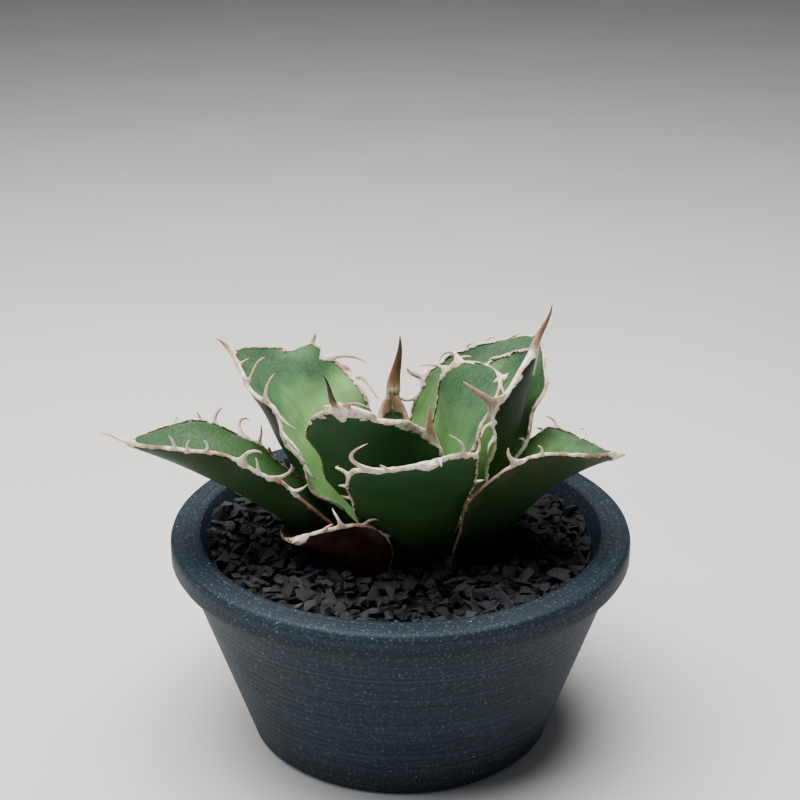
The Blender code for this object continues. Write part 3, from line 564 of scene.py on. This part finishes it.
# Painted shade: this ramp darkens the inner face towards the foot, where other leaves shade it. It is darker
# towards the tip as well.
inner = node(wax, "ValToRGB", lit,
             stops=((0.10, "#3f5c2c"), (0.30, "#6f9c4e"), (0.52, "#78a860"), (0.73, "#4a734a"),
                    (0.95, "#2d4936")))
shade = node(wax, "Math MULTIPLY_ADD", streak, 0.7, patch)
shade = node(wax, "MapRange", shade, 0.75, 1.05)
reach = node(wax, "MapRange", along, 0.35, 0.85, 0.05, 0.60)
shade = node(wax, "Math MULTIPLY", shade, reach)
inner = node(wax, "Mix RGBA", shade, inner, "#24412c")
# Painted shade: the inner face is darkened towards #2c4e2c by each leaf's own amount, low and high.
inner = node(wax, "Mix RGBA", deep_inner, inner, "#2c4e2c")
back = node(wax, "ValToRGB", lit,
            stops=((0.10, "#3d5123"), (0.35, "#305223"), (0.68, "#284b28"), (0.98, "#314f35")))
cloudy = node(wax, "MapRange", blotch, 0.40, 0.70, 0.0, 0.35)
back = node(wax, "Mix RGBA", cloudy, back, "#1b331c")
# Painted shade: the outer face is darkened towards #16300f by each leaf's own amount.
back = node(wax, "Mix RGBA", deep_outer, back, "#16300f")
green = node(wax, "Mix RGBA", outer, inner, back)
milky = node(wax, "MapRange", bloom, 0.38, 0.70, 0.0, 0.16)
waxed = node(wax, "MapRange", outer, 0.0, 1.0, 1.0, 0.15)
milky = node(wax, "Math MULTIPLY", milky, waxed)
green = node(wax, "Mix RGBA", milky, green, "#8ba684")
tinge = node(wax, "MapRange", edge, 0.88, 0.99, 0.0, 0.6)
tinge = node(wax, "Math MULTIPLY", tinge, node(wax, "MapRange", patch, 0.35, 0.6))
green = node(wax, "Mix RGBA", tinge, green, "#3a4c2c")
worn = node(wax, "ValToRGB", node(wax, "Math MULTIPLY_ADD", patch, 0.4, blotch),
            stops=((0.45, "#22130f"), (0.68, "#3a211c"), (0.88, "#5d453b")))
first = node(wax, "Math MULTIPLY_ADD", edge, 0.55, -0.87)
first = node(wax, "Math MULTIPLY_ADD", patch, 0.5, first)
first = node(wax, "Math MULTIPLY_ADD", along, 0.35, first)
turning = node(wax, "MapRange", node(wax, "Math ADD", age, first), 0.10, 0.75)
turning = node(wax, "Math MULTIPLY", turning, node(wax, "MapRange", age, 0.0, 0.12))
skin = node(wax, "Mix RGBA", turning, green, worn)
satin = node(wax, "MapRange", patch, 0.3, 0.7, 0.50, 0.62)
relief = node(wax, "Math MULTIPLY_ADD", streak, 1.2, bloom)
grain = node(wax, "Bump", Strength=0.5, Distance=0.06 * MM, Height=relief)
node(wax, "OutputMaterial",
     node(wax, "BsdfPrincipled", Base_Color=skin, Roughness=satin, Normal=grain,
          Specular_IOR_Level=0.18))

for leaf in LEAVES:
    blade = Blade(leaf)
    bm = bmesh.new()
    bmesh.ops.create_grid(bm, x_segments=BLADE_COLUMNS, y_segments=BLADE_ROWS, size=0.5)
    copied = bmesh.ops.extrude_face_region(bm, geom=bm.faces[:])["geom"]
    under = {item for item in copied if isinstance(item, bmesh.types.BMVert)}
    outer = np.array([vert in under for vert in bm.verts], dtype=float)
    s = blade.green_end * (1 - (0.5 - np.array([vert.co.x for vert in bm.verts])) ** 1.2)
    row = np.array([vert.co.y * 2 for vert in bm.verts])
    share = np.sin(row * math.pi / 2) * 0.35 + row * 0.65
    across = share * (blade.width(s, np.sign(share)) - BARE_HORN * blade.horn_width(s))
    thick = blade.thickness(s, across / np.maximum(blade.width(s), MM))
    rounded = np.clip(abs(share) - (1 - ROUND_EDGE), 0, 1) / ROUND_EDGE
    rounding = 0.5 * thick * (1 - np.sqrt(1 - rounded.clip(0, 1) ** 2))
    folds = np.sin(across / MM * 0.7 + leaf.azimuth + 2.0 * np.sin(s * 5)) * (1 - abs(share) ** 4)
    folds = FOLD_DEPTH * folds * smooth_step((s - 0.45) / 0.4)
    dents = rough_noise(s * leaf.length / 11, across / MM / 9, leaf.azimuth)
    dents = DENT_DEPTH * dents * smooth_step(s / 0.2)
    depth = np.where(outer > 0, thick - rounding + 0.4 * dents, rounding + folds + dents)
    for vert, spot in zip(bm.verts, blade.point(s, across, depth)):
        vert.co = spot
    bmesh.ops.recalc_face_normals(bm, faces=bm.faces[:])
    piece = add_piece(f"{leaf.name}_skin", bm, wax, leaf.name)
    # Each leaf's painted shade, for the inner face low and high and for the outer face, is kept on its
    # points.
    set_values(piece.data, along=s, across=share, outer=outer, age=leaf.age, seed=leaf.azimuth / 10,
               deep_inner=mix(leaf.deep[0], leaf.deep[1], smooth_step((s - 0.35) / 0.25)),
               deep_outer=leaf.deep[2])


# The horny margins. Each leaf is edged with a hard band like fingernail, which grows out into
# hooked teeth and runs together at the tip into a spine. It is bone white with a tan cast, brown
# where it is thin, and tan to dark brown in the spines.
HORN_VOXEL = 0.21 * MM
BAND_STEPS = 190
BAND_SIDES = 10
TOOTH_STEPS = 12
CAP_STEPS = 7
SPINE_STEPS = 18
MARKS = ("tooth_tip", "spine_tip", "by_green", "between_teeth", "tan_cast")

margin, place = new_material("leaf_horn")
tip, spine, by_green, between, tan_cast, tone = (
    node(margin, "Attribute", attribute_name=name, output="Fac") for name in (*MARKS, "spine_tone"))
cloud = node(margin, "TexNoise", place, scale_of(3.0), 3.0)
fleck = node(margin, "TexNoise", place, scale_of(0.8), 4.0)
upright = node(margin, "VectorMath MULTIPLY", place, (1, 1, 0.12))
fibre = node(margin, "TexNoise", upright, scale_of(0.45), 3.0)
bone = node(margin, "ValToRGB", cloud, stops=((0.32, "#efe5da"), (0.50, "#e3d2c2"), (0.66, "#c39d84")))
stain = node(margin, "MapRange", fleck, 0.53, 0.66, 0.0, 0.6)
bone = node(margin, "Mix RGBA", stain, bone, "#a67a5c")
thin = node(margin, "Math MULTIPLY_ADD", fleck, 1.4, -0.8)
thin = node(margin, "Math ADD", thin, between)
thin = node(margin, "MapRange", thin, 0.25, 0.75, 0.0, 0.92)
line = node(margin, "ValToRGB", cloud, stops=((0.35, "#6b4a38"), (0.60, "#8f6d52"), (0.75, "#b3977a")))
bone = node(margin, "Mix RGBA", thin, bone, line)
seam = node(margin, "Math MULTIPLY_ADD", fleck, 1.2, by_green)
seam = node(margin, "MapRange", seam, 1.15, 1.45, 0.0, 0.9)
bone = node(margin, "Mix RGBA", seam, bone, "#6f4a35")
point = node(margin, "Math MULTIPLY_ADD", cloud, 0.5, tip)
point = node(margin, "MapRange", point, 0.75, 1.3, 0.0, 0.6)
bone = node(margin, "Mix RGBA", point, bone, "#b08a6c")
rosy = node(margin, "MapRange", fibre, 0.35, 0.65)
rosy = node(margin, "Mix RGBA", rosy, "#8d6250", "#c39a80")
bone = node(margin, "Mix RGBA", node(margin, "Math MULTIPLY", tan_cast, 0.9), bone, rosy)
browning = node(margin, "Math MULTIPLY_ADD", fibre, 0.5, -0.25)
browning = node(margin, "Math ADD", browning, spine)
pale = node(margin, "ValToRGB", browning, stops=((0.10, "#efe6dc"), (0.50, "#ddccba"), (0.95, "#a98565")))
ochre = node(margin, "ValToRGB", browning,
             stops=((0.02, "#ddc1ab"), (0.22, "#b98a69"), (0.50, "#8a5c40"), (0.90, "#54392b")))
dark = node(margin, "ValToRGB", browning,
            stops=((0.06, "#b39379"), (0.20, "#523a2b"), (0.50, "#30221b"), (0.90, "#1d1613")))
tanned = node(margin, "MapRange", tone, 0.15, 0.45)
rod = node(margin, "Mix RGBA", tanned, pale, ochre)
darkened = node(margin, "MapRange", tone, 0.60, 1.0)
rod = node(margin, "Mix RGBA", darkened, rod, dark)
on_spine = node(margin, "MapRange", spine, 0.01, 0.10)
colour = node(margin, "Mix RGBA", on_spine, bone, rod)
satin = node(margin, "MapRange", fleck, 0.3, 0.7, 0.36, 0.56)
relief = node(margin, "Math MULTIPLY_ADD", cloud, 0.5, fleck)
scaly = node(margin, "Bump", Strength=0.6, Distance=0.12 * MM, Height=relief)
node(margin, "OutputMaterial",
     node(margin, "BsdfPrincipled", Base_Color=colour, Roughness=satin, Normal=scaly,
          Subsurface_Weight=0.08, Subsurface_Scale=0.6 * MM))


def loft(bm, rings):
    """A closed horn through rings of points."""
    face = bm.faces.new([bm.verts.new(spot) for spot in rings[0]])
    for ring in rings[1:]:
        grown = bmesh.ops.extrude_face_region(bm, geom=[face, *face.edges, *face.verts])["geom"]
        face = next(item for item in grown if isinstance(item, bmesh.types.BMFace))
        for vert, spot in zip(face.verts, ring):
            vert.co = spot


def ring_of(centre, first, second, first_size, second_size, sides):
    turn = (np.arange(sides) + 0.5)[:, None] * math.tau / sides
    return centre + unit(first) * first_size * np.cos(turn) + unit(second) * second_size * np.sin(turn)


class Horn:
    """Gathers the closed shapes of one leaf's margin, and what each of their points is like."""

    def __init__(self, leaf):
        self.leaf = leaf
        self.blade = Blade(leaf)
        self.bm = bmesh.new()
        self.places = []
        self.marks = []

    def add(self, rings, **marks):
        """Adds a shape from its rings, with marks that are alike all over it, by ring or by side."""
        loft(self.bm, rings)
        shape = np.shape(rings)[:2]
        self.places.append(np.reshape(rings, (-1, 3)))
        self.marks.append([np.broadcast_to(marks.get(name, 0.0), shape).ravel() for name in MARKS])

    def band(self, side):
        """The edge of one side, broader at the feet of its teeth and ragged towards the green."""
        leaf, blade = self.leaf, self.blade
        s = np.linspace(HORN_START - 0.02, 0.995, BAND_STEPS)
        along = s * leaf.length
        seed = leaf.azimuth + side
        ragged = rough_noise(along / 2.2, 0 * s, seed) + 0.6 * rough_noise(along / 0.9, 0 * s, seed + 40)
        full = blade.horn_width(np.maximum(s, HORN_START)) * np.clip(0.8 + 1.5 * ragged, 0.35, 2.2)
        near = 0 * s
        for station, length, _, _, _, _, *build in blade.teeth[side]:
            stout = build[0] if build else 1.0
            bell = blade.bell(s, station, 1.3 + 0.22 * length)
            full = full + 0.06 * min(length, 10) * stout * MM * bell
            near = np.maximum(near, bell)
        for patch_side, station, change, reach in leaf.patches:
            bell = blade.bell(s, station, reach)
            full = full + np.where(side == patch_side, change * MM * bell * (0.8 + 0.4 * ragged), 0.0)
        lumps = rough_noise(along / 1.6, 0 * s + 7, seed)
        outer = np.maximum(blade.width(s, side), 0.4 * MM) + 0.35 * MM * lumps * (0.3 + near)
        full = np.where(s > blade.green_end - 1.0 / leaf.length, outer + 0.4 * MM, full)
        full = np.minimum(full, outer + 0.4 * MM) * smooth_step((s - HORN_START + 0.04) / 0.1)
        full = np.maximum(full, 0.35 * MM)
        turn = (np.arange(BAND_SIDES) + 0.5) * math.tau / BAND_SIDES
        proud = 0.14 * MM + 0.05 * full + 0.15 * MM * np.abs(ragged)
        flat = np.sign(np.sin(turn)) * np.abs(np.sin(turn)) ** 0.7
        rings = []
        for k, share in enumerate(s):
            centre = outer[k] + 0.12 * MM - 0.5 * full[k]
            across = centre + 0.5 * full[k] * np.cos(turn)
            thick = blade.thickness(share, across / outer[k])
            depth = 0.5 * thick + (0.5 * thick + proud[k]) * flat
            rings.append(blade.point(share, side * across, depth))
        bare = leaf.brown * (1 - near)
        if not leaf.cap[2]:
            bare = bare * (1 - smooth_step((s - 0.9) / 0.1))
        self.add(rings, by_green=np.clip(-np.cos(turn), 0, 1), between_teeth=bare[:, None])

    def tooth(self, side, station, length, lean, curl, more_curl, rise, stout=1.0, tan=0.0):
        """A hooked tooth, flattened and broad where it grows out of the band."""
        blade = self.blade
        s = station / 100
        inset = 0.5 * blade.horn_width(s)

        def root_at(s):
            return blade.point(s, side * (blade.width(s, side) - inset), 0.5 * EDGE_THICKNESS)

        centre = root_at(s)
        forward = unit(root_at(s + 0.02) - root_at(s - 0.02))
        normal = blade.surface(s, side * blade.width(s, side))[1]
        outward = unit(np.cross(normal, forward) * side)
        normal = unit(np.cross(forward, outward) * side)
        rings = []
        for k in range(TOOTH_STEPS + 1):
            share = k / TOOTH_STEPS
            way = share + 0.5 / TOOTH_STEPS
            angle = math.radians(lean + curl * way + more_curl * way * way)
            lift = math.radians(rise * (0.5 + way))
            heading = outward * math.cos(angle) + forward * math.sin(angle)
            across = forward * math.cos(angle) - outward * math.sin(angle)
            across = mix(forward, across, min(1, 4 * share))
            heading = heading * math.cos(lift) + normal * math.sin(lift)
            slender = (0.36 + 0.03 * length) * (1 - share) ** 0.6 + 0.12
            flare = (0.5 + 0.15 * length) * max(0, 1 - share / 0.32) ** 2.4
            thick = 0.52 * (1 - share) ** 0.6 + 0.12
            rings.append(ring_of(centre, across, np.cross(heading, across), stout * (slender + flare) * MM,
                                 math.sqrt(stout) * thick * MM, 8))
            centre = centre + heading * length * MM / TOOTH_STEPS
        shares = np.arange(TOOTH_STEPS + 1)[:, None] / TOOTH_STEPS
        self.add(rings, tooth_tip=shares, tan_cast=tan)

    def terminal_spine(self):
        """The spine, whose base runs down the back of the leaf as a tongue of horn."""
        leaf, blade = self.leaf, self.blade
        length, turn, lift, more_turn, more_lift = leaf.spine
        base = leaf.spine_base * MM
        rings = []
        for k in range(CAP_STEPS):
            share = k / CAP_STEPS
            s = mix(1 - leaf.cap[0] / leaf.length, 0.995, share)
            _, _, side, face = blade.frame(s)
            half = mix(leaf.cap[1] * MM, 1.1 * base, share ** 3)
            half = half * math.sqrt(0.15 + 0.85 * min(1, 2 * share))
            half = min(max(blade.width(s) + 0.3 * MM, base), half)
            thick = 0.5 * blade.thickness(s, 0)
            depth = thick + mix(0.45, 0.0, share) * MM
            high = mix(thick + 0.05 * MM, max(1.15 * thick, base), share * share)
            rings.append(ring_of(blade.point(s, 0, depth), side, face, half, high, 10))
        _, along, side, face = blade.frame(1)
        centre = blade.point(1, 0, 0.5 * TIP_THICKNESS)
        for k in range(SPINE_STEPS + 1):
            share = k / SPINE_STEPS
            size = base * (1 - share) ** 0.95 + 0.13 * MM
            rings.append(ring_of(centre, side, face, size, 0.85 * size, 10))
            way = share + 0.5 / SPINE_STEPS
            turned_by = math.radians(turn * way + more_turn * way * way)
            lifted_by = math.radians(lift * way + more_lift * way * way)
            heading = along * math.cos(lifted_by) + face * math.sin(lifted_by)
            heading = heading * math.cos(turned_by) + side * math.sin(turned_by)
            centre = centre + unit(heading) * length * MM / SPINE_STEPS
        shares = np.concatenate((np.full(CAP_STEPS, leaf.cap[2]),
                                 np.linspace(0.02 + leaf.cap[2], 1, SPINE_STEPS + 1)))
        self.add(rings, spine_tip=shares[:, None])

    def finish(self):
        """Melts the shapes into one smooth piece, and carries their marks over to its points."""
        leaf = self.leaf
        bmesh.ops.recalc_face_normals(self.bm, faces=self.bm.faces[:])
        piece = add_piece(f"{leaf.name}_horn", self.bm, margin, f"{leaf.name}_margin")
        melt = piece.modifiers.new("melt", "REMESH")
        melt.mode = "VOXEL"
        melt.voxel_size = HORN_VOXEL
        calm = piece.modifiers.new("calm", "SMOOTH")
        calm.factor = 0.5
        calm.iterations = 2
        keep_modifiers(piece)
        piece.data.shade_smooth()
        places = np.concatenate(self.places)
        marks = np.concatenate(self.marks, axis=1)
        tree = kdtree.KDTree(len(places))
        for index, spot in enumerate(places):
            tree.insert(spot, index)
        tree.balance()
        values = np.zeros((len(MARKS), len(piece.data.vertices)))
        for vert in piece.data.vertices:
            found = tree.find_n(vert.co, 4)
            weights = np.array([1 / (distance + 0.05 * MM) for _, _, distance in found])
            values[:, vert.index] = marks[:, [index for _, index, _ in found]] @ weights / weights.sum()
        set_values(piece.data, spine_tone=leaf.spine_tone, **dict(zip(MARKS, values)))


for leaf in LEAVES:
    horn = Horn(leaf)
    for side in (1, -1):
        horn.band(side)
        for spec in horn.blade.teeth[side]:
            horn.tooth(side, *spec)
    horn.terminal_spine()
    horn.finish()


# The stone chips. Crushed black lava, graded 2 to 9 mm and strewn over the mix by hand. Each
# chip is a flat broken flake with sharp edges, and finer crumbs have sunk between them.
THROWS = 5400  # most of them find no room left
COARSE_SHARE = 0.65
COARSE = (4.0, 7.2, 11.0)  # smallest, usual and largest block that a coarse chip is knocked from
FINE = (2.6, 5.0)
CHIP_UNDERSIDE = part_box("stone_chips")[0][2]
CHIP_BED = PAN_HEIGHT - 7.4 * MM
SUNK = (1.2, 4.4)  # how far the chips stay under the rim, at the high and the low side
LOW_SIDE = math.radians(35)  # the heap is lowest at the back right
CRUMB = 2.0 * MM
CRUMB_HEIGHT = 0.9 * MM
WALL_GAP = 0.4 * MM
CELL = 0.9 * MM  # of the grid that keeps the heap's height

# Broken black lava: charcoal with a faint violet cast, each chip its own grey, with pits of
# 0.35 mm and a film of its own dust.
lava, place = new_material("crushed_black_lava")
patch = node(lava, "TexNoise", place, scale_of(5.0), 2.0)
mottle = node(lava, "TexNoise", place, scale_of(1.6), 4.0)
pits = node(lava, "TexNoise", place, scale_of(0.35), 3.0)
own = node(lava, "Attribute", attribute_name="chip_tone", output="Fac")
tone = node(lava, "Math MULTIPLY_ADD", mottle, 0.7, own)
body = node(lava, "ValToRGB", node(lava, "Math SUBTRACT", tone, 0.35),
            stops=((0.05, "#0b0b0d"), (0.40, "#141417"), (0.70, "#202025"), (0.98, "#34323a")))
warm = node(lava, "MapRange", patch, 0.5, 0.75, 0.0, 0.35)
body = node(lava, "Mix RGBA", warm, body, "#221c1c")
film = node(lava, "MapRange", pits, 0.60, 0.74, 0.0, 0.30)
body = node(lava, "Mix RGBA", film, body, "#68676c")
dull = node(lava, "MapRange", mottle, 0.3, 0.7, 0.62, 0.85)
pitted = node(lava, "Bump", Distance=0.22 * MM, Height=node(lava, "Math ADD", pits, mottle))
node(lava, "OutputMaterial",
     node(lava, "BsdfPrincipled", Base_Color=body, Roughness=dull, Normal=pitted, Specular_IOR_Level=0.40))


def inner_wall(height):
    """Inner radius of the pan at a height."""
    return mix(FOOT_RADIUS - WALL, PAN_RADIUS - RIM_WIDTH, (height - FLOOR) / (PAN_HEIGHT - FLOOR))


class Bed:
    """Heights on a square grid over the pan: the pile so far, and what hangs over it."""

    def __init__(self):
        steps = np.arange(-PAN_RADIUS, PAN_RADIUS + CELL, CELL)
        x, y = np.meshgrid(steps, steps, indexing="ij")
        stem_flank = STEM_TOP - STEM_SLOPE * np.hypot(x - STEM_CENTRE[0], y - STEM_CENTRE[1])
        self.pile = np.maximum(CHIP_BED, stem_flank)
        self.roof = np.full(x.shape, 1.0)
        for leaf in LEAVES:
            self.hang(Blade(leaf))

    def cell(self, x):
        return np.clip(((np.asarray(x) + PAN_RADIUS) / CELL).astype(int), 0, len(self.pile) - 1)

    def hang(self, blade):
        """Lowers the roof to the faces of a leaf."""
        s, share = (grid.ravel() for grid in np.meshgrid(np.linspace(0.0, 1.0, 160), np.linspace(-1, 1, 81)))
        for depth in (blade.thickness(s, share), 0 * s):
            spots = blade.point(s, share * blade.width(s), depth)
            np.minimum.at(self.roof, (self.cell(spots[:, 0]), self.cell(spots[:, 1])), spots[:, 2])

    def square(self, x, y, reach):
        return (slice(self.cell(x - reach), self.cell(x + reach) + 1),
                slice(self.cell(y - reach), self.cell(y + reach) + 1))


def knock_off_chip(bm, spot, size, draw):
    """One chip: the hull of a few points on a flat block, kept inside the pan's wall."""
    points = []
    for _ in range(10):
        way = Vector([draw.uniform(-1, 1) for _ in range(3)])
        spread = way / mix(way.length, max(abs(c) for c in way), 0.6) * draw.uniform(0.85, 1.0)
        points.append(Vector(a * b for a, b in zip(spread, size)) * 0.5)
    lean = Euler((draw.gauss(0, 0.38), draw.gauss(0, 0.38), draw.uniform(0, math.tau))).to_matrix()
    verts = [bm.verts.new(lean @ point + spot) for point in points]
    hull = bmesh.ops.convex_hull(bm, input=verts)
    unused = hull["geom_interior"] + hull["geom_unused"]
    loose = {item for item in unused if isinstance(item, bmesh.types.BMVert)}
    bmesh.ops.delete(bm, geom=list(loose), context="VERTS")
    kept = [vert for vert in verts if vert.is_valid]
    for vert in kept:
        vert.co.xy *= min(1.0, (inner_wall(vert.co.z) - 0.3 * MM) / vert.co.xy.length)
    return kept


chips = bmesh.new()
bed = Bed()
draw = random.Random(11)
tone = chips.verts.layers.float.new("chip_tone")
for k in range(THROWS):
    angle = draw.uniform(0, math.tau)
    reach = inner_wall(CHIP_BED) * math.sqrt(draw.uniform(0.02, 1))
    x = reach * math.cos(angle)
    y = reach * math.sin(angle)
    across = min(COARSE[2], max(COARSE[0], draw.lognormvariate(math.log(COARSE[1]), 0.30))) * MM
    if k > COARSE_SHARE * THROWS:
        across = draw.uniform(*FINE) * MM
    size = Vector((across, across * draw.uniform(0.55, 0.9), across * draw.uniform(0.24, 0.50)))
    area = bed.square(x, y, 0.42 * across)
    floor = float(np.quantile(bed.pile[area], 0.7))
    top = floor + size.z * 0.72
    ceiling = PAN_HEIGHT - mix(*SUNK, 0.5 + 0.5 * math.cos(angle - LOW_SIDE)) * MM
    if top > ceiling + draw.uniform(-1.0, 0.8) * MM or top > bed.roof[area].min() - 0.3 * MM:
        continue
    own = draw.uniform(0, 1)
    for vert in knock_off_chip(chips, Vector((x, y, floor + size.z * 0.28)), size, draw):
        vert[tone] = own
    covered = bed.square(x, y, 0.35 * across)
    bed.pile[covered] = np.maximum(bed.pile[covered], top - 0.1 * size.z)

crumbs = bmesh.ops.create_grid(chips, x_segments=100, y_segments=100, size=1.0)["verts"]
for vert in crumbs:
    vert[tone] = 0.3
    longest = max(abs(vert.co.x), abs(vert.co.y))
    vert.co.xy = vert.co.xy.normalized() * longest * (inner_wall(CHIP_BED) - WALL_GAP)
    vert.co.z = CHIP_BED + CRUMB_HEIGHT * noise.noise(vert.co / CRUMB)
top_faces = list({face for vert in crumbs for face in vert.link_faces})
grown = bmesh.ops.extrude_face_region(chips, geom=top_faces)
sunk = [item for item in grown["geom"] if isinstance(item, bmesh.types.BMVert)]
for vert in sunk:
    vert.co.z = CHIP_UNDERSIDE
    vert.co.xy *= (inner_wall(CHIP_UNDERSIDE) - WALL_GAP) / (inner_wall(CHIP_BED) - WALL_GAP)
bmesh.ops.recalc_face_normals(chips, faces=chips.faces[:])
chips = add_piece("stone_chips_strewn", chips, lava, "stone_chips")
chips.data.shade_flat()


# The studio. A pale floor that runs back out of sight, a large soft light overhead, a weaker one
# from the left, and the camera where the plant was seen from, a little above the rim.
LENS = 81
ELEVATION = math.radians(22.33)
DISTANCE = 589.9 * MM
OFF_CENTRE = (-0.287, 40.09)  # how far the lens sits to the right of the axis and over the rim
TWIST = math.radians(0.14)

paper, place = new_material("pale_studio_paper")
body = node(paper, "ValToRGB", node(paper, "TexNoise", place, scale_of(60), 2.0),
            stops=((0.3, "#d9d8d5"), (0.7, "#dedddb")))
node(paper, "OutputMaterial", node(paper, "BsdfPrincipled", Base_Color=body, Roughness=0.9))
bm = bmesh.new()
bmesh.ops.create_grid(bm, x_segments=2, y_segments=2, size=6.0)
floor = to_object("studio_floor", bm)
floor.data.materials.append(paper)

for name, spot, size, power, colour in (
    ("overhead", (-0.08, 0.04, 0.72), 0.80, 15.5, (1.0, 0.985, 0.96)),
    ("left_fill", (-0.9, -0.3, 0.60), 0.6, 3.0, (0.96, 0.98, 1.0)),
):
    light = bpy.data.lights.new(name, "AREA")
    light.shape = "DISK"
    light.size = size
    light.energy = power
    light.color = colour
    lamp = add_object(name, light)
    lamp.location = spot
    aim = Vector((0, 0, PAN_HEIGHT)) - Vector(spot)
    lamp.rotation_euler = aim.to_track_quat("-Z", "Y").to_euler()

back = Vector((0, -math.cos(ELEVATION), math.sin(ELEVATION)))
up = Vector((0, math.sin(ELEVATION), math.cos(ELEVATION)))
lens = bpy.data.cameras.new("studio_camera")
lens.sensor_width = 36
lens.lens = LENS
camera = add_object("studio_camera", lens)
rim = Vector((OFF_CENTRE[0] * MM, 0, PAN_HEIGHT))
camera.location = rim + up * OFF_CENTRE[1] * MM + back * DISTANCE
level = (-back).to_track_quat("-Z", "Y")
camera.rotation_euler = (level @ Quaternion((0, 0, 1), TWIST)).to_euler()
bpy.context.scene.camera = camera

world = bpy.data.worlds.new("studio")
world.use_nodes = True
world.node_tree.nodes.clear()
node(world, "OutputWorld", node(world, "Background", (0.80, 0.84, 0.90, 1), 0.12))
bpy.context.scene.world = world
